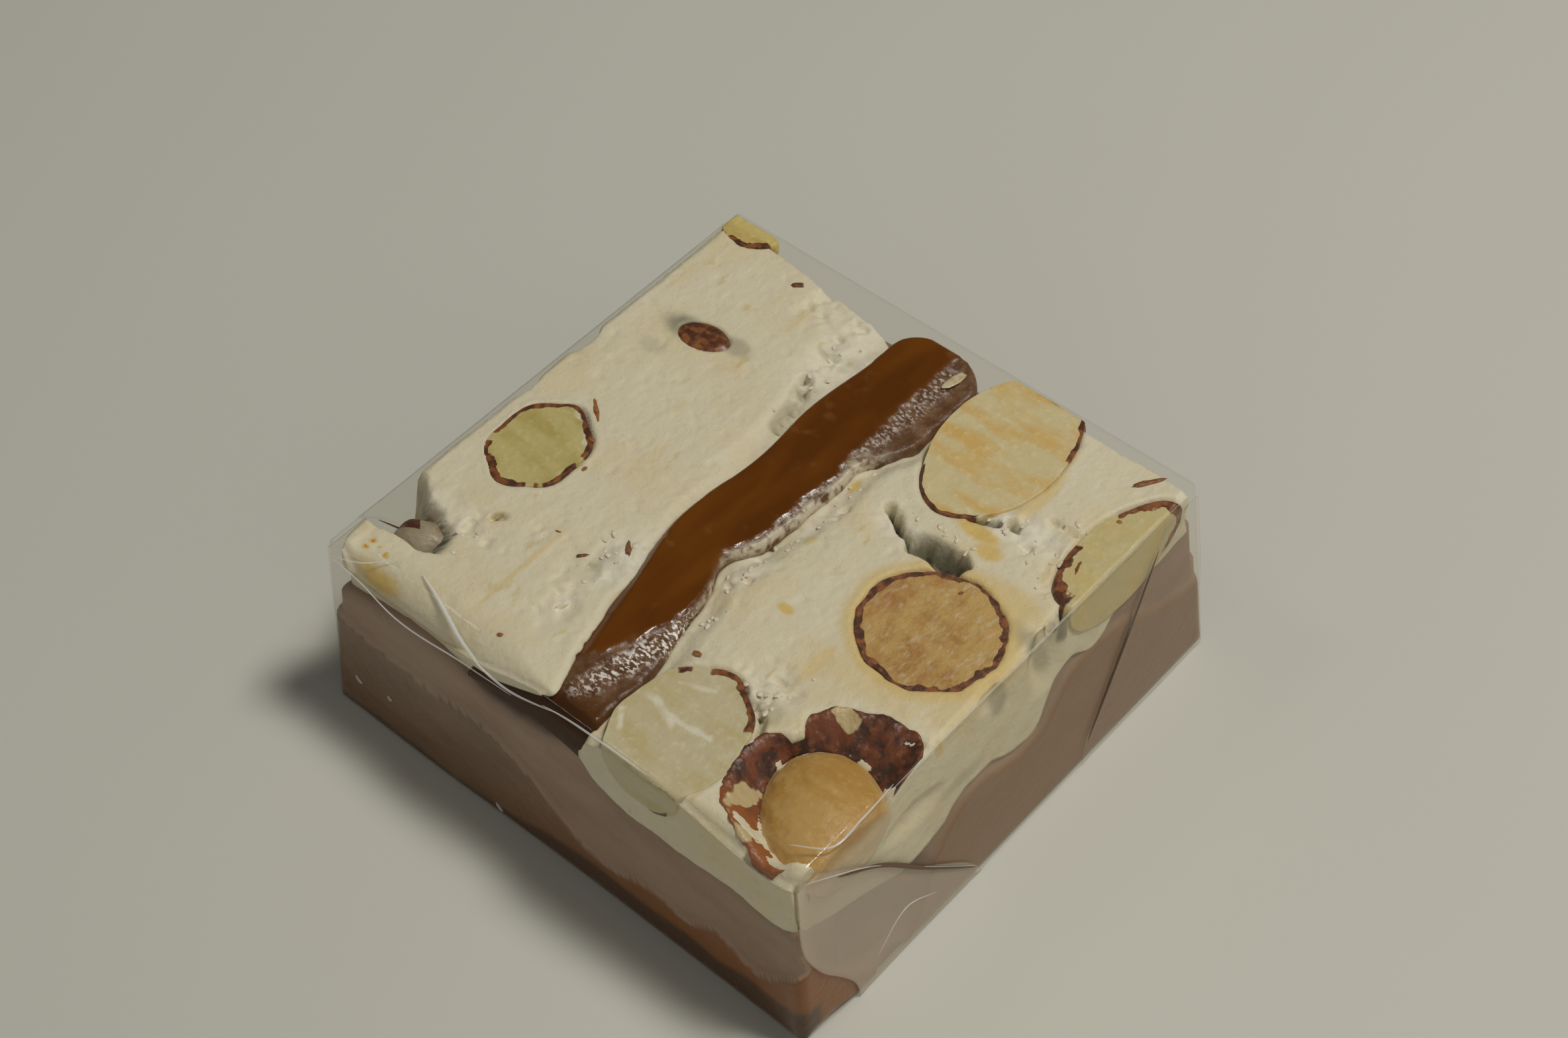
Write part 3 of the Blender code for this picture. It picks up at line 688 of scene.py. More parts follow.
CRUMBLY = (
    # middle, half lengths in plan, strength
    ((-5.4, -10.4), (1.8, 3.2), 0.8), ((-10.0, -12.5), (3, 3), 0.25), ((-18.2, -15.1), (5, 1.6), 0.5),
    ((10.1, 5.5), (4.5, 1.2), 0.7), ((15.8, 11.4), (5.2, 1.8), 0.9), ((20.8, 11.7), (1.6, 4), 0.6),
    ((11.1, -12.0), (2.6, 2), 0.6), ((2.6, -4.4), (1.4, 3), 0.8), ((-6.0, 16.0), (2.6, 6), 0.65),
    ((3.6, 4.0), (1.2, 4), 0.55), ((-9.6, 19.6), (3.0, 2.6), 0.4), ((-5.6, -16.6), (1.3, 3.0), 0.4),
    ((22.1, -9.3), (1.4, 3), 0.4),
)
STAINS = (
    # middle, half lengths in plan, strength of the honey and almond-oil stain
    ((-20.9, -20.8), (0.3, 0.26), 1), ((-21.0, -21.5), (0.26, 0.22), 1), ((-19.3, -21.1), (0.24, 0.26), 0.9),
    ((-20.1, -20.9), (0.14, 0.14), 0.7), ((7.3, -5.7), (0.8, 0.5), 0.55), ((3.1, 7.0), (0.45, 0.8), 0.5), ((4.3, 0.5), (0.5, 0.8), 0.35),
    ((12.4, -7.0), (0.5, 1.3), 0.3), ((-12.4, 4.2), (0.5, 0.9), 0.2), ((-15.6, 15.4), (0.6, 0.5), 0.25),
    ((13.6, 9.0), (2.2, 0.8), 0.55), ((15.4, 8.0), (1.3, 0.9), 0.5), ((15.0, 14.8), (1, 3.6), 0.35),
    ((18.9, 5.4), (4.4, 1.6), 0.3), ((15.7, -7.0), (5.5, 1.8), 0.22), ((22.4, -3.9), (1.6, 5), 0.18),
    ((13.6, 18.9), (1.6, 2.0), 0.35), ((12.3, -8.1), (0.8, 2.2), 0.28), ((20.2, 9.7), (1, 2), 0.25), ((-10.4, -15.5), (0.3, 6), 0.3),
    ((-11.4, 17.2), (0.5, 2.4), 0.22), ((-10.5, -1.6), (0.7, 3.4), 0.16), ((-21.9, 15.1), (0.8, 2.4), 0.16),
    ((-12.0, 9.8), (1.4, 1), 0.14), ((11.2, -3.6), (0.5, 1), 0.2), ((23.6, -7.6), (0.6, 0.5), 0.4),
)
SHADES = (
    # middle, half lengths, strength of the grey, glassy nougat over something dark
    ((-17.5, 10.7), (2.6, 1.4), 0.6), ((-18.6, 7.5), (1.4, 1.0), 0.25), ((-13.2, 11.6), (1.6, 1.1), 0.4),
    ((-5.6, 9.9), (0.8, 3.2), 0.28), ((-18.0, -3.8), (4.4, 3.6), 0.1),
    ((12.5, 6.1), (2.4, 0.8), 0.45), ((12.9, -13.5), (1.2, 1.2), 0.3), ((-6.3, -11.4), (1, 2.4), 0.3),
)


def spots(x, y, table):
    """Strength of the nearest of some soft oval spots."""
    most = np.zeros(np.shape(x))
    for (middle_x, middle_y), (reach_x, reach_y), strength in table:
        away = np.hypot((x - middle_x) / reach_x, (y - middle_y) / reach_y)
        most = np.maximum(most, strength * smooth(1.35, 0.45, away))
    return most


def torn_depth(x, y):
    """Depth of the tears and the notch: steep ragged troughs along bent lines."""
    ragged = 0.8 * clouds(x, y, 0.0 * x, 1.5, 2, 101)
    rough = clouds(x, y, 0.0 * x, 0.9, 3, 102)
    depth = np.zeros(np.shape(x))
    for route, half_width, deep in TEARS:
        share = bent_line_reach(x, y, route) / (half_width * (1.0 + 0.75 * ragged))
        depth = np.maximum(depth, (deep + 0.8 * rough) * smooth(1.35, 0.35, np.abs(share)))
    ragged = 0.55 * clouds(x, y, 0.0 * x, 1.2, 3, 103)
    notch = bent_line_reach(x, y, NOTCH_ROUTE) - 1.0 * smooth(-18.6, -23.2, x)
    deep = mix(3.0, 5.0, smooth(-20.0, -23.0, x))
    return np.maximum(depth, deep * smooth(2.0, 1.1, notch + ragged * smooth(-19.6, -17.6, y)))


def sawn_top(x, y, side):
    """Height of a block's sawn top: under the film, with pores and drag marks, torn, sunk round kernels."""
    top = wrap_top(x, y) - FILM - TOUCH - 0.02
    crumbs = spots(x, y, CRUMBLY)
    coarse, fine = clouds(x, y, 0.0 * x, 2.6, 3, 81), clouds(x, y, 0.0 * x, 0.75, 3, 84)
    top = top - 0.07 - 0.07 * coarse - 0.05 * smooth(0.1, 0.6, fine)
    top = top - crumbs * (0.30 + 0.42 * fine + 0.25 * coarse)
    pits = smooth(0.30, 0.62, clouds(x, y, 0.0 * x, 1.1, 2, 88))
    top = top - (0.9 * crumbs + 0.10) * pits
    top = top - torn_depth(x, y)
    if side < 0:
        away = caramel_left(y, 19.2) - x
        flank = 0.9 * smooth(2.6, 0.3, away) * smooth(-2.0, 8.0, y) + 0.35 * smooth(1.2, 0.0, away)
        under = smooth(0.15, -0.9, away)
    else:
        away = x - caramel_right(y)
        flank = 0.95 * smooth(2.4, 0.2, away) + 0.1 * smooth(4.0, 2.4, away)
        under = smooth(0.1, -0.9, away)
    top = top - flank * (1.0 + 0.35 * coarse) - 1.8 * under
    if side > 0:
        top = np.minimum(top, cup_top(x, y) + 0.12 + 0.15 * fine)
    for name in ALMOND_LOOKS:
        depth = almond_depth(name, x, y, np.minimum(top, 18.9))
        sink = {"almond_buried": 0.6, "almond_notch": 0.3}.get(name, 0.7)
        top = top - sink * smooth(1.04, 0.93, depth) + 0.05 * bell(depth, 1.08, 0.05)
    return top


def nougat_gap(x, z, side):
    """How far a block's front stands back from the film: the left one is rounded under."""
    if side > 0:
        return 0.22 + 0.25 * smooth(14.0, 12.0, z)
    return 0.30 + 0.9 * smooth(17.0, 14.8, z) + 0.5 * smooth(-9.0, 0.0, x)


def make_nougat(name, side, cells):
    """A block: a lattice from the bar's side to the caramel and from the foot up to the sawn top."""
    u, v, w, faces = block_skin(cells)
    share = u if side > 0 else 1.0 - u
    back = NOUGAT_BACK + (0.35 if side > 0 else -1.5 * smooth(-20.0, -4.0, mix(-4.0, -23.0, share)))
    half_x, half_y = wrap_half(16.0)
    y = mix(-half_y, back, v)
    inner = caramel_left(y, 19.2) + 0.9 if side < 0 else caramel_right(y) - 0.9
    x = mix(inner, side * half_x, share)
    z = mix(foot_level(x, y) - 0.1, sawn_top(x, y, side), w)
    half_x, half_y = wrap_half(z)
    y = mix(-half_y, back, v)
    if side < 0:
        inner = np.minimum(caramel_left(y, z) + 0.9, inner)
    x = mix(inner, side * half_x, share)
    bumpy = clouds(x, y, z, 2.0, 4, 87)
    outer, front, rear = share**24, (1.0 - v) ** 24, v**24
    corner = CORNER * (1.0 - np.sqrt(np.maximum(1.0 - ((1.0 - v) ** 16 * share**16), 0.0)))
    x = x - side * (outer * (0.2 + 0.12 * bumpy + spots(y, z, SIDE_HOLLOWS)) + corner)
    y = y + front * (nougat_gap(x, z, side) + 0.12 * bumpy) + corner - rear * 0.25 * bumpy
    shade = spots(x, y, SHADES) * smooth(17.0, 18.0, z)
    # Painted shade: the tears and the notch are coloured darker grey the deeper they go, where shade falls in them.
    hole = np.maximum(0.6 * smooth(0.5, 1.2, torn_depth(x, y)), smooth(1.2, 2.4, torn_depth(x, y)))
    hole = hole * smooth(15.6, 16.6, z) * (1.0 - 0.55 * smooth(-18.5, -20.5, x) * smooth(-12.0, -14.0, y))
    shade = np.maximum(shade, hole)
    # On the right end: a mauve stain, and painted shade in the side hollows.
    shade = np.maximum(shade, side * spots(y, z, SIDE_SHADES) * share**8)
    stain = spots(x, y, STAINS) * smooth(16.6, 17.8, z)
    stain = np.maximum(stain, side_stains(x, y, z, side))
    halo = almond_depth("almond_toasted", x, y, 17.8 + 0.0 * z)
    if side > 0:
        stain = np.maximum(stain, 0.42 * smooth(1.38, 1.02, halo) * smooth(16.8, 18.0, z))
    crumb = spots(x, y, CRUMBLY)
    points = np.stack((x, y, z), axis=-1)
    surface = nougat_surface(name + "_paste", side)
    piece = make_piece(name + "_block", points, faces, surface, shade=shade, stain=stain, crumb=crumb)
    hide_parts(name)


SIDE_HOLLOWS = (
    # on the right end, middle (y, z), half lengths, depth in mm
    ((4.7, 16.6), (1.8, 3.2), 0.9),
    ((-1.8, 18.3), (1.3, 1.6), 0.35),
    ((-10.7, 13.5), (3.0, 1.2), 0.5),
)


SIDE_SHADES = (
    # on the right end, middle (y, z), half lengths, strength: a mauve stain under the surface, and painted shade in and
    # beside the side hollows
    ((-0.9, 16.8), (1.1, 1.8), 0.42), ((3.6, 17.9), (1.2, 1.7), 0.62), ((4.9, 15.4), (1.0, 2.0), 0.4),
    ((-5.5, 12.4), (3.4, 0.8), 0.3),
)


def side_stains(x, y, z, side):
    """Honey stains on the upright sides: the left front corner and a streak down the right front edge."""
    if side < 0:
        away = np.hypot((x + 18.8) / 2.6, (z - 18.0) / 1.9)
        return 0.62 * smooth(1.3, 0.3, away) * smooth(-21.4, -22.6, y)
    away = np.hypot((x - 23.5) / 0.5, (z - 17.4) / 1.8)
    return 0.9 * smooth(1.2, 0.4, away) * smooth(-22.2, -22.8, y)


def nougat_surface(name, side):
    """Nougat: cream with honey clouds and fine pores, glassy grey over dark things, whiter where torn; the grey also
    paints shade in the tears, the notch and the right end's hollows.
    """
    made = Surface(name, {"Specular IOR Level": 0.35, "Subsurface Radius": (1.0, 0.75, 0.45)})
    made.fill(made.shader, {"Subsurface Scale": 0.9 * MM, "Subsurface Weight": 0.2})
    broad = made.grain(6.0, 3.0)
    fine = made.grain(0.5, 4.0)
    drag = made.grain(1.3, 3.0, (1.0, 0.22, 1.0), 8.0)
    warm = 0.62 if side > 0 else 0.42
    honey = made.step(broad, 0.42, 0.72, 0.0, warm)
    body = made.tint(honey, (0.70, 0.635, 0.455), (0.68, 0.565, 0.32))
    body = made.tint(made.step(drag, 0.55, 0.78, 0.0, 0.5), body, (0.76, 0.71, 0.58))
    body = made.tint(made.step(fine, 0.6, 0.8, 0.0, 0.42), body, (0.54, 0.46, 0.29))
    body = made.tint(made.times(made.field("crumb"), 0.55), body, (0.78, 0.74, 0.64))
    stain = made.field("stain")
    body = made.tint(made.step(stain, 0.0, 0.6), body, (0.66, 0.47, 0.15))
    body = made.tint(made.step(stain, 0.65, 0.95), body, (0.55, 0.20, 0.03))
    fleck = made.step(made.grain(1.5, 3.0, (1.0, 0.5, 1.0), 35.0), 0.66, 0.74, 0.0, 0.55)
    body = made.tint(fleck, body, (0.58, 0.47, 0.21))
    shade = made.field("shade")
    # glassy grey over buried kernels, and painted shade in the tears, the notch and the side hollows
    body = made.tint(made.step(shade, 0.0, 0.75), body, (0.28, 0.26, 0.18))
    body = made.tint(made.step(shade, 0.72, 1.0), body, (0.10, 0.095, 0.055))
    made.fill(made.shader, {"Base Color": body, "Roughness": made.step(fine, 0.3, 0.7, 0.5, 0.72)})
    pores = made.step(made.cells(0.55), 0.0, 0.22)
    made.relief(fine, 0.07)
    made.relief(drag, 0.07)
    made.relief(pores, 0.05, 0.6)
    return made.material


make_nougat("nougat_left", -1, (92, 220, 34))
make_nougat("nougat_right", 1, (104, 210, 34))


# ---------------------------------------------------------------------------------------
# Caramel strip. Soft caramel laid warm between the blocks. Its left side is pressed on the
# film and shines dark amber; its right side sagged, and is dull with fine sugar specks, partly
# painted as white glints. Its front face is painted darker as shade.

CARAMEL_BACK = span("caramel_strip")[1][1]
CARAMEL_END = 3.0
# White specks along this line are partly sugar, partly painted glints.
SPARKLES = ((0.5, -20.8), (1.5, -17.4), (2.4, -13.8), (2.5, -11.0), (1.6, 9.5), (1.7, 20.0))  # sugary and glinting near this line
# the right limit of what is pressed on the film, along Y
PRESSED = ((-24, -4.5), (-19.2, -1.75), (-17.2, -0.3), (-14.2, 0.9), (-11.25, 1.6), (-7.3, 1.1), (-4.4, 0.16), (-2, 1.2),
           (0.55, 1.3), (5.5, 1.44), (10.4, 1.17), (15.4, 0.96), (22.5, 1.0))


def make_caramel():
    """The strip: rows along Y between its two edges, with rolled edges, a sagged side and a round end."""
    u, v, w, faces = block_skin((44, 230, 20))
    y = mix(-wrap_half(16.0)[1], CARAMEL_BACK, v)
    ragged = 0.22 * clouds(0.0 * y, y, 0.0 * y, 1.8, 3, 121)
    right = caramel_right(y) + ragged
    past = np.clip((y - (CARAMEL_BACK - CARAMEL_END)) / CARAMEL_END, 0.0, 1.0)
    left = caramel_left(y, 19.2) + 0.5 * ragged
    squeeze = 0.42 * (right - left) * (1.0 - np.sqrt(np.maximum(1.0 - past * past, 0.0)))
    flat_x = mix(left + squeeze, right - squeeze, u)
    limit = through(PRESSED, y) + 0.45 * clouds(flat_x, y, 0.0 * y, 1.5, 4, 123)
    sagged = smooth(limit - 0.1, limit + 0.5, flat_x)
    frost = smooth(0.05, 0.75, (flat_x - limit) / (right - limit)) * smooth(-11.0, -8.0, y) * smooth(12.0, 8.0, y)
    sag = sagged * (0.22 + 0.20 * clouds(flat_x, y, 0.0 * y, 1.6, 4, 125)) + 0.25 * smooth(limit, right, flat_x)
    sag = sag * (1.0 - 0.6 * frost)
    edge = np.minimum(flat_x - left - squeeze, right - squeeze - flat_x)
    edge = np.minimum(edge, CARAMEL_BACK - y)
    top = wrap_top(flat_x, y) - FILM - TOUCH - sag - quarter(edge, 0.5)
    low = foot_level(flat_x, y) + 0.3
    z = mix(low, top, w)
    left = np.minimum(left, caramel_left(y, z))
    x = mix(left + squeeze, right - squeeze, u)
    front = (1.0 - v) ** 24
    y = np.where(v < 0.2, mix(-wrap_half(z)[1], CARAMEL_BACK, v), y)
    y = y + front * (0.30 + 0.9 * smooth(15.5, 19.0, z) + 0.1 * ragged)
    points = np.stack((x, y, z), axis=-1)
    dull = sagged * smooth(0.7, 0.95, w) * (1.0 - 0.9 * front)
    # Where the white specks go: partly sugar, partly painted glints.
    sparkle = smooth(1.4, 0.2, bent_line_reach(x, y, SPARKLES) + 0.5 * clouds(x, y, 0.0 * y, 0.9, 3, 127))
    sparkle = sparkle * (1.0 - 0.55 * smooth(0.0, 10.0, y)) * (1.0 - frost)
    # deep marks the front face, which is painted darker as shade.
    piece = make_piece("caramel_filling", points, faces, caramel_surface(), dull=dull, frost=frost, sparkle=sparkle, deep=front)
    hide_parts("caramel_strip")


def caramel_surface():
    """Caramel: deep amber with slow swirls, glossy; dull parts are mauve-brown with white specks that are partly sugar,
    partly painted glints; painted shade on the front face.
    """
    made = Surface("soft_caramel", {"Specular IOR Level": 0.38, "Coat Weight": 0.0})
    swirl = made.grain(3.0, 2.0, (1.0, 0.3, 1.0))
    body = made.tint(made.step(swirl, 0.35, 0.68), (0.108, 0.030, 0.0014), (0.155, 0.047, 0.0026))
    dull = made.field("dull")
    haze = made.tint(made.step(made.grain(1.2, 4.0), 0.38, 0.7), (0.115, 0.050, 0.018), (0.195, 0.105, 0.050))
    frost = made.times(made.field("frost"), made.step(made.grain(0.8, 4.0), 0.34, 0.56), "MULTIPLY")
    haze = made.tint(frost, haze, (0.56, 0.49, 0.36))
    # Painted glints: white specks in the base colour stand in for sparkling highlights, partly real sugar.
    specks = made.step(made.grain(0.24, 3.0, (0.6, 1.0, 1.0), -35.0), 0.49, 0.62, 0.0, 1.0)
    haze = made.tint(made.times(specks, made.field("sparkle")), haze, (0.92, 0.86, 0.80))
    pale = made.step(made.grain(1.8, 3.0), 0.60, 0.78, 0.0, 0.35)
    body = made.tint(pale, body, (0.24, 0.105, 0.030))
    body = made.tint(dull, body, haze)
    # Painted shade: the strip's front face is coloured near-black amber and given little shine.
    made.fill(made.shader, {"Base Color": made.tint(made.field("deep"), body, (0.055, 0.020, 0.004))})
    made.fill(made.shader, {"Roughness": made.step(dull, 0.0, 1.0, 0.18, 0.40)})
    made.fill(made.shader, {"Specular IOR Level": made.step(made.field("deep"), 0.0, 1.0, 0.38, 0.04)})
    made.relief(made.grain(1.6, 3.0), 0.10, 0.5)
    lumps = made.times(made.grain(0.45, 3.0), dull)
    made.relief(lumps, 0.09)
    return made.material


make_caramel()


# ---------------------------------------------------------------------------------------
# Loose bits. Flakes of almond skin and one sliver of nut that the knife left on the sawn top,
# each a thin lens held down by the film.

SKIN_FLAKES = (
    # middle in plan, half length, half width, turn in degrees, how orange
    ((-17.2, -0.4), 1.4, 0.20, -41, 0.7), ((-15.3, -2.9), 0.35, 0.20, 0, 0.8), ((-15.3, -9.0), 0.26, 0.20, 0, 0.3),
    ((-7.7, -11.7), 0.50, 0.16, 44, 0.2), ((-5.5, -9.0), 0.70, 0.22, 134, 0.4), ((-10.7, -11.2), 0.30, 0.10, 10, 0.9),
    ((-7.2, -20.9), 0.26, 0.14, 20, 0.9), ((21.1, 16.5), 0.26, 0.20, 0, 0.9), ((21.4, 11.0), 0.70, 0.20, -71, 0.3),
    ((20.4, 21.0), 1.30, 0.22, 56, 0.4), ((-14.0, 20.0), 0.55, 0.30, 30, 0.2),
    ((16.3, 3.6), 0.30, 0.18, 60, 0.5), ((5.1, -12.9), 0.35, 0.20, 10, 0.7), ((-13.6, -5.4), 0.24, 0.16, 80, 0.8),
)


def make_bits(name, table, height, nodes, surface):
    """Thin lenses: a globe's grid flattened, turned and crinkled, all in one mesh with closed poles."""
    rings, around = 9, 18
    rise = np.linspace(0.0, math.pi, rings)[1:-1, None]
    turn = np.linspace(0.0, 2.0 * math.pi, around, endpoint=False)[None, :]
    globe = np.stack((np.sin(rise) * np.cos(turn), np.sin(rise) * np.sin(turn), np.cos(rise) + 0.0 * turn), axis=-1)
    globe = np.concatenate(([[0.0, 0.0, 1.0]], globe.reshape(-1, 3), [[0.0, 0.0, -1.0]]))
    row, column = np.meshgrid(np.arange(rings - 3), np.arange(around), indexing="ij")
    here, beside = 1 + row * around + column, 1 + row * around + (column + 1) % around
    body = np.stack((here, here + around, beside + around, beside), axis=-1).reshape(-1, 4)
    last, ends = len(globe) - 1, np.arange(around)
    first_ring, last_ring = 1 + ends, 1 + (rings - 3) * around + ends
    caps = [(0, a, b) for a, b in zip(first_ring, np.roll(first_ring, -1))]
    caps += [(last, b, a) for a, b in zip(last_ring, np.roll(last_ring, -1))]
    points, faces, tones = [], [], []
    for (at_x, at_y), long, wide, angle, tone in table:
        cosine, sine = math.cos(math.radians(angle)), math.sin(math.radians(angle))
        swell = 1.0 + 0.45 * clouds(at_x + 2.0 * globe[:, 0], at_y + 2.0 * globe[:, 1], 0.0 * globe[:, 2], 1.0, 3, 151)
        along, across = globe[:, 0] * long * swell, globe[:, 1] * wide * swell
        x, y = at_x + along * cosine - across * sine, at_y + along * sine + across * cosine
        z = height(np.array([at_x]), np.array([at_y])) + 0.09 * globe[:, 2]
        offset = len(points) * len(globe)
        points.append(np.stack((x, y, z), axis=-1))
        faces += (body + offset).tolist() + [[part + offset for part in cap] for cap in caps]
        tones.append(np.full(len(globe), tone))
    mesh = bpy.data.meshes.new(name)
    mesh.from_pydata((np.concatenate(points) * MM).tolist(), [], faces)
    made = mesh.attributes.new("tone", "FLOAT", "POINT")
    made.data.foreach_set("value", np.concatenate(tones).astype(np.float32))
    mesh.materials.append(surface)
    mesh.shade_smooth()
    piece = bpy.data.objects.new(name, mesh)
    bpy.context.scene.collection.objects.link(piece)
    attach(piece, "root")
    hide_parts(*nodes)


def flake_surface():
    """Flakes of skin: from mahogany to orange, mottled and dull."""
    made = Surface("skin_flake", {"Specular IOR Level": 0.4, "Roughness": 0.55})
    mottle = made.step(made.grain(0.4, 3.0), 0.35, 0.65)
    dark = made.tint(mottle, (0.07, 0.022, 0.010), (0.15, 0.05, 0.02))
    made.fill(made.shader, {"Base Color": made.tint(made.field("tone"), dark, made.tint(mottle, (0.30, 0.10, 0.02), (0.42, 0.18, 0.04)))})
    made.relief(mottle, 0.03)
    return made.material


def sliver_surface():
    """The sliver: pale cut nut with a faint grain."""
    made = Surface("nut_sliver", {"Specular IOR Level": 0.45, "Roughness": 0.4})
    made.fill(made.shader, {"Base Color": made.tint(made.step(made.grain(0.5, 3.0), 0.4, 0.65), (0.62, 0.52, 0.34), (0.50, 0.38, 0.20))})
    made.relief(made.grain(0.4, 3.0), 0.04)
    return made.material


def under_film(x, y):
    """Height of a thin bit that the film presses on the top."""
    return wrap_top(x, y) - FILM - TOUCH - 0.10


def on_nougat(x, y):
    """Height of a crumb half sunk in a block's torn top."""
    return np.where(x > 0.0, sawn_top(x, y, 1), sawn_top(x, y, -1)) + 0.02


def crumb_table():
    """Nougat crumbs scattered round the places where the blocks tore: middle, half sizes, turn, tone."""
    draw = np.random.default_rng(17)
    table = []
    for (at_x, at_y), (reach_x, reach_y), count in CRUMB_HEAPS:
        for _ in range(count):
            place = (at_x + reach_x * draw.normal(), at_y + reach_y * draw.normal())
            long = draw.uniform(0.10, 0.34)
            table.append((place, long, long * draw.uniform(0.45, 0.95), draw.uniform(0.0, 180.0), draw.uniform()))
    return table


CRUMB_HEAPS = (
    # middle, spread in plan, number of crumbs
    ((12.6, 7.4), (1.6, 0.25), 10), ((14.6, 10.6), (2.2, 0.7), 16), ((19.8, 11.6), (0.9, 2.2), 12),
    ((3.0, -3.8), (0.5, 2.4), 14), ((3.4, 4.0), (0.4, 2.6), 10), ((10.9, -12.4), (1.2, 0.9), 14), ((-6.2, -10.4), (0.7, 2.0), 12),
    ((-15.6, -16.0), (0.7, 0.9), 8), ((-6.4, 14.6), (0.7, 3.4), 10), ((3.6, -9.6), (0.5, 1.3), 6),
)


def crumb_surface():
    """Nougat crumbs: a little whiter than the blocks, matt."""
    made = Surface("nougat_crumb", {"Specular IOR Level": 0.3, "Roughness": 0.7})
    made.fill(made.shader, {"Base Color": made.tint(made.step(made.grain(0.3, 2.0), 0.35, 0.65), (0.76, 0.71, 0.57), (0.66, 0.58, 0.40))})
    made.relief(made.grain(0.25, 3.0), 0.04)
    return made.material


make_bits("nougat_crumbs", crumb_table(), on_nougat, ("nougat_left", "nougat_right"), crumb_surface())
make_bits("skin_flakes", SKIN_FLAKES, under_film, ("nougat_left", "nougat_right"), flake_surface())
make_bits("nut_sliver", (((2.5, 19.9), 1.25, 0.5, 80, 0.0),), under_film, ("caramel_strip",), sliver_surface())


# ---------------------------------------------------------------------------------------
# Film. A sleeve of clear film, drawn tight and folded over each end like an envelope: side
# tucks, then a bottom and a top flap; only the tucks and the top flap are built. Its creases
# are narrow welts that catch the light.

def film_surface(name, haze, tint, rough, mirror=0.03):
    """Clear film: what lies behind shows through, mirrored light adds at a slant, folds are milky; on the creases the
    haze colour also paints highlight and shade.
    """
    made = Surface(name, {"Base Color": (*tint, 1.0), "Roughness": 0.6, "Specular IOR Level": 0.2})
    clear = made.add("ShaderNodeBsdfTransparent", {"Color": (0.985, 0.98, 0.965, 1.0)})
    gloss = made.add("ShaderNodeBsdfGlossy", {"Roughness": rough})
    slant = made.add("ShaderNodeLayerWeight", {"Blend": 0.5})
    rim = made.times(made.times(slant.outputs["Facing"], 5.0, "POWER"), 0.3)
    rim = made.times(rim, mirror, "ADD")
    veil = made.add("ShaderNodeMixShader", {0: haze, 1: clear.outputs[0], 2: made.shader.outputs[0]})
    both = made.add("ShaderNodeMixShader", {0: rim, 1: veil.outputs[0], 2: gloss.outputs[0]})
    ripple = made.add("ShaderNodeBump", {"Height": made.grain(5.0, 2.0), "Distance": 0.10 * MM})
    made.tree.links.new(ripple.outputs[0], gloss.inputs["Normal"])
    made.tree.links.new(both.outputs[0], made.tree.nodes["Material Output"].inputs["Surface"])
    return made.material


def finish_film():
    """Every film piece stands for the wrap's solid."""
    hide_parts("film_wrap")


def add_wall(piece):
    """Gives a film surface its thickness, inwards."""
    wall = piece.modifiers.new("wall", "SOLIDIFY")
    wall.thickness = FILM * MM
    wall.offset = -1.0


def make_sleeve():
    """The sleeve: a leaning box with round corners and a rolled upper edge, drawn flat over the food."""
    u, v, w, faces = block_skin((112, 112, 34))
    across, along = 2.0 * u - 1.0, 2.0 * v - 1.0
    half_x, half_y = (half + FILM + TOUCH for half in wrap_half(SLEEVE_TOP))
    flat_x, flat_y = round_plan(across, along, half_x, half_y, CORNER)
    nearest = np.minimum(half_x - np.abs(flat_x), half_y - np.abs(flat_y))
    low = base_round(flat_x, flat_y, nearest)
    z = mix(low, wrap_top(flat_x, flat_y), w)
    half_x, half_y = (half + FILM + TOUCH for half in wrap_half(z))
    x, y = round_plan(across, along, half_x, half_y, CORNER)
    weights = side_weights(across, along)
    slack = 0.03 * clouds(x, y, z, 7.0, 2, 131) + 0.03
    sunk = (weights[0] - weights[1]) * slack, (weights[2] - weights[3]) * slack
    points = np.stack((x + sunk[0] * smooth(0.5, 3.0, z), y + sunk[1] * smooth(0.5, 3.0, z), z), axis=-1)
    piece = make_piece("film_sleeve", points, faces, film_surface("clear_film", 0.004, (0.86, 0.86, 0.84), 0.05, 0.014))
    finish_film()


def end_x(z, side):
    """X of the sleeve's folded end at height z."""
    return side * (SLEEVE_X - LEAN * np.clip(z / SLEEVE_TOP, 0.0, 1.0))


def make_flap(name, side, front, back, low, high, proud, haze):
    """A folded flap: a sheet between a front and a back edge (Y by height), lying proud of the end."""
    rows, columns = 60, 70
    v, u = np.meshgrid(np.linspace(0.0, 1.0, rows), np.linspace(0.0, 1.0, columns), indexing="ij")
    z = mix(low, high, v)
    y = mix(through(front, z), through(back, z), u)
    lift = proud * (0.55 + 0.45 * cloud(0.0 * y, y, z, 6.0, 141)) * smooth(high, high - 2.5, z)
    lift = lift + 0.06 * smooth(0.08, 0.0, np.minimum(u, 1.0 - u))
    x = end_x(z, side) + side * (0.02 + lift)
    points = np.stack((x, side * y, z), axis=-1).reshape(-1, 3)
    row, column = np.meshgrid(np.arange(rows - 1), np.arange(columns - 1), indexing="ij")
    first = row * columns + column
    faces = np.stack((first, first + 1, first + columns + 1, first + columns), axis=-1).reshape(-1, 4)
    piece = make_piece(name, points, faces, film_surface(name + "_film", haze, (0.72, 0.62, 0.48), 0.08, 0.004))
    add_wall(piece)
    finish_film()


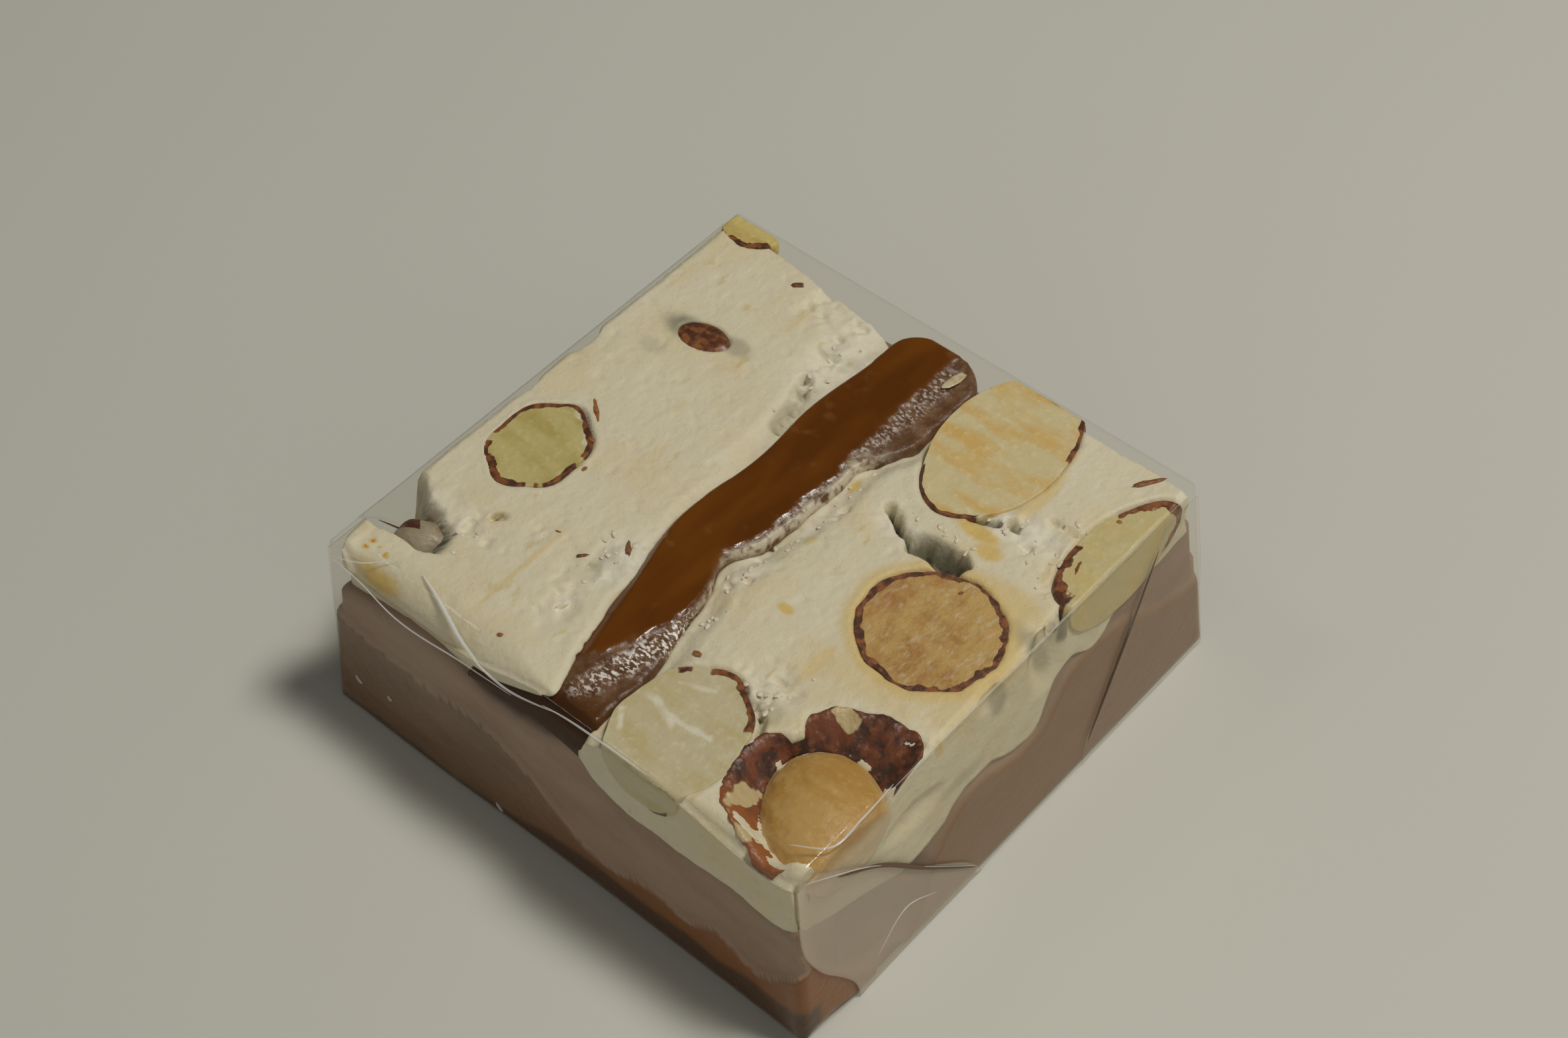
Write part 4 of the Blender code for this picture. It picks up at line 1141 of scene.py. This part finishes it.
def make_welt(name, route, radius, surface):
    """A crease: a thin tube along a smooth line through the route, tapering to its ends."""
    route = np.array(route, float)
    steps = np.concatenate(([0.0], np.cumsum(np.linalg.norm(np.diff(route, axis=0), axis=1))))
    rings, around = 90, 10
    t = np.linspace(0.0, steps[-1], rings)
    line = np.stack([through(np.stack((steps, part), axis=-1), t) for part in route.T], axis=-1)
    ahead = np.gradient(line, axis=0)
    ahead /= np.linalg.norm(ahead, axis=1, keepdims=True)
    side = np.cross(ahead, (0.3, 0.2, 1.0))
    side /= np.linalg.norm(side, axis=1, keepdims=True)
    up = np.cross(side, ahead)
    thick = radius * np.sqrt(np.maximum(np.sin(np.pi * np.linspace(0.0, 1.0, rings)), 0.0)) + 0.004
    turn = np.linspace(0.0, 2.0 * math.pi, around, endpoint=False)
    ring = np.cos(turn)[None, :, None] * side[:, None, :] + np.sin(turn)[None, :, None] * up[:, None, :]
    points = (line[:, None, :] + thick[:, None, None] * ring).reshape(-1, 3)
    row, column = np.meshgrid(np.arange(rings - 1), np.arange(around), indexing="ij")
    here, beside = row * around + column, row * around + (column + 1) % around
    faces = np.stack((here, here + around, beside + around, beside), axis=-1).reshape(-1, 4)
    caps = [np.arange(around), (rings - 1) * around + np.arange(around)[::-1]]
    mesh = bpy.data.meshes.new(name)
    mesh.from_pydata((points * MM).tolist(), [], faces.tolist() + [cap.tolist() for cap in caps])
    mesh.materials.append(surface)
    mesh.shade_smooth()
    piece = bpy.data.objects.new(name, mesh)
    bpy.context.scene.collection.objects.link(piece)
    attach(piece, "root")
    finish_film()


def front_y(x, z):
    """Y of the film's front at a height, round its chamfer above."""
    radius = chamfer(x)
    half_y = SLEEVE_Y - LEAN * np.clip(z / SLEEVE_TOP, 0.0, 1.0)
    past = np.clip((z - (SLEEVE_TOP - radius)) / radius, 0.0, 1.0)
    return -half_y + radius * (1.0 - np.sqrt(1.0 - past * past))


def front_route(pairs):
    """A crease on the front, from (x, z) pairs."""
    return [(x, float(front_y(x, z)), z) for x, z in pairs]


def end_route(pairs, side, proud):
    """A crease on a folded end, from (y, z) pairs."""
    return [(float(end_x(z, side)) + side * proud, side * y, z) for y, z in pairs]


make_sleeve()
TUCK_FRONT = ((-1, -18.6), (2, -18.9), (4.5, -20.2), (7, -21.9), (10, -23.2), (19.2, -23.2))
TUCK_BACK = ((-1, 24.0), (19.2, 23.0))
TOP_FRONT = ((-1, -4.0), (1.4, -5.0), (8.1, -11.1), (13.3, -15.7), (18.9, -21.8))
TOP_BACK = ((-1, 8.0), (2.8, 8.9), (7.6, 12.3), (16.7, 18.0), (18.9, 20.0))
for side, end in ((1, "right"), (-1, "left")):
    make_flap("film_tuck_front_" + end, side, TUCK_FRONT, TOP_FRONT, 0.15, 18.2, 0.12, 0.30)
    make_flap("film_tuck_back_" + end, side, TOP_BACK, TUCK_BACK, 0.15, 18.2, 0.12, 0.05)
    make_flap("film_flap_top_" + end, side, TOP_FRONT, TOP_BACK, 0.3, 18.8, 0.20, 0.015)

# The creases' and edges' milky white haze is painted highlight along lines where the film catches the light, laid over
# their real gloss.
edge_highlight = film_surface("film_edge_highlight", 0.16, (0.95, 0.92, 0.80), 0.15)
highlight_welt = film_surface("film_crease_highlight", 0.34, (0.92, 0.91, 0.88), 0.12)
# Painted shade: the fold welts are brown and nearly opaque, standing in for shade in the fold and the chocolate seen
# through it.
shaded = film_surface("film_fold_painted_shade", 0.8, (0.12, 0.062, 0.026), 0.2)
make_welt("film_crease_front_upper", front_route(((-14.6, 19.1), (-13.6, 19.0), (-10.9, 18.5), (-8.8, 17.8), (-4.7, 17.5),
          (-0.6, 18.5), (1.2, 19.0))), 0.09, highlight_welt)
make_welt("film_crease_front_streak", front_route(((-15.6, 19.17), (-14.0, 19.06), (-12.0, 18.75), (-9.6, 18.1), (-7.4, 17.6))), 0.19, highlight_welt)
make_welt("film_edge_right", [(SLEEVE_X - LEAN - 0.08, y, 19.06) for y in (-14.0, -6.0, 2.0, 12.0, 21.5)], 0.09, edge_highlight)
make_welt("film_crease_kernel", [(23.3, -12.5, 19.08), (23.5, -16.2, 19.08), (23.4, -19.2, 19.06), (21.0, -21.0, 19.06)], 0.09, highlight_welt)
# Painted glints: small white welts where the film touches the chocolate's front.
for number, scuff in enumerate((((-22.2, 4.7), (-21.5, 4.1)), ((-18.4, 5.2), (-18.0, 4.8)), ((-6.6, 1.9), (-5.9, 1.3)))):
    make_welt("film_painted_glint_%d" % (number + 1), front_route(scuff), 0.13, highlight_welt)
make_welt("film_edge_front", front_route(((-0.5, 18.75), (1.6, 19.0), (5.0, 19.1), (9.8, 19.13))), 0.08, highlight_welt)
make_welt("film_crease_front_lower", front_route(((-23.2, 17.9), (-20.3, 17.3), (-16.6, 16.2), (-8.8, 16.7), (-3.7, 17.2))), 0.06, highlight_welt)
make_welt("film_crease_front_left", front_route(((-23.2, 17.9), (-20.4, 18.5), (-18.1, 19.1))), 0.06, highlight_welt)
for side, end in ((1, "right"), (-1, "left")):
    diagonal = ((-22.8, 19.0), (-15.7, 13.3), (-11.1, 8.1), (-5.0, 1.4))
    make_welt("film_crease_diagonal_" + end, end_route(diagonal, side, 0.20), 0.045, highlight_welt)
    make_welt("film_fold_diagonal_" + end, end_route(((-19.4, 16.0), (-15.4, 12.9), (-10.8, 7.6), (-4.9, 1.1)), side, 0.10), 0.19, shaded)
    make_welt("film_fold_back_" + end, end_route(((18.0, 16.6), (12.3, 7.6), (8.9, 2.4)), side, 0.12), 0.11, shaded)
    make_welt("film_crease_tuck_" + end, end_route(((-16.5, 2.5), (-12.9, 4.8), (-9.5, 3.0)), side, 0.06), 0.05, highlight_welt)


# ---------------------------------------------------------------------------------------
# The table and the light: a plain pale table, a soft room, a large lamp high at the right
# and behind, and a small one overhead that draws the bright lines along the film's edges.

def make_table():
    """A flat square far wider than the view, with its underside closed."""
    points = np.array([(x, y, z) for z in (-2.0, 0.0) for y in (-600.0, 600.0) for x in (-600.0, 600.0)])
    faces = np.array(((0, 2, 3, 1), (4, 5, 7, 6), (0, 1, 5, 4), (2, 6, 7, 3), (0, 4, 6, 2), (1, 3, 7, 5)))
    made = Surface("table", {"Specular IOR Level": 0.25, "Roughness": 0.5})
    made.fill(made.shader, {"Base Color": made.tint(made.grain(60.0, 2.0), (0.575, 0.565, 0.49), (0.595, 0.585, 0.51))})
    mesh = bpy.data.meshes.new("table")
    mesh.from_pydata((points * MM).tolist(), [], faces.tolist())
    mesh.materials.append(made.material)
    table = bpy.data.objects.new("table", mesh)
    bpy.context.scene.collection.objects.link(table)


def add_lamp(name, direction, distance, size, power, colour):
    """A square lamp in a direction from the bar, facing it."""
    lamp = bpy.data.lights.new(name, "AREA")
    lamp.shape = "RECTANGLE"
    lamp.size, lamp.size_y = size
    lamp.energy = power
    lamp.color = colour
    holder = bpy.data.objects.new(name, lamp)
    holder.location = Vector(direction).normalized() * distance
    holder.rotation_euler = holder.location.to_track_quat("Z", "Y").to_euler()
    bpy.context.scene.collection.objects.link(holder)


def set_room(colour, least, most):
    """The room: dim overhead, lighter low down, most of all in front and to the right."""
    world = bpy.data.worlds.new("room")
    world.use_nodes = True
    tree = world.node_tree
    where = tree.nodes.new("ShaderNodeTexCoord")
    along = tree.nodes.new("ShaderNodeVectorMath")
    along.operation = "DOT_PRODUCT"
    along.inputs[1].default_value = (0.35, -0.30, -0.89)
    tree.links.new(where.outputs["Generated"], along.inputs[0])
    level = tree.nodes.new("ShaderNodeMapRange")
    level.interpolation_type = "SMOOTHSTEP"
    for label, value in (("From Min", -0.75), ("From Max", 0.05), ("To Min", least), ("To Max", most)):
        level.inputs[label].default_value = value
    tree.links.new(along.outputs["Value"], level.inputs["Value"])
    background = tree.nodes["Background"]
    background.inputs["Color"].default_value = (*colour, 1.0)
    tree.links.new(level.outputs["Result"], background.inputs["Strength"])
    bpy.context.scene.world = world


def set_camera():
    """The camera looks down from the front right; its slight roll and slide place the bar in the view."""
    turn, height, roll = (math.radians(angle) for angle in (43.62, 50.11, -2.95))
    back = Vector((math.sin(turn) * math.cos(height), -math.cos(turn) * math.cos(height), math.sin(height)))
    right = Vector((0.0, 0.0, 1.0)).cross(back).normalized()
    up = back.cross(right)
    rolled_right = math.cos(roll) * right + math.sin(roll) * up
    rolled_up = math.cos(roll) * up - math.sin(roll) * right
    camera = bpy.data.cameras.new("camera")
    camera.sensor_width = 36.0
    camera.lens = 60.87
    camera.clip_start = 0.01
    holder = bpy.data.objects.new("camera", camera)
    place = (0.95 * rolled_right + 11.80 * rolled_up + 215.09 * back) * MM
    axes = Matrix((rolled_right, rolled_up, back)).transposed().to_4x4()
    holder.matrix_world = Matrix.Translation(place) @ axes
    bpy.context.scene.collection.objects.link(holder)
    bpy.context.scene.camera = holder


make_table()
set_room((1.0, 0.975, 0.93), 0.01, 0.42)
add_lamp("window", (0.31, 0.25, 0.915), 0.6, (0.12, 0.12), 2.2, (1.0, 0.985, 0.955))
add_lamp("overhead", (-0.457, -0.35, 0.84), 0.6, (0.05, 0.14), 0.13, (1.0, 1.0, 1.0))
set_camera()
bpy.context.scene.view_settings.view_transform = "Standard"
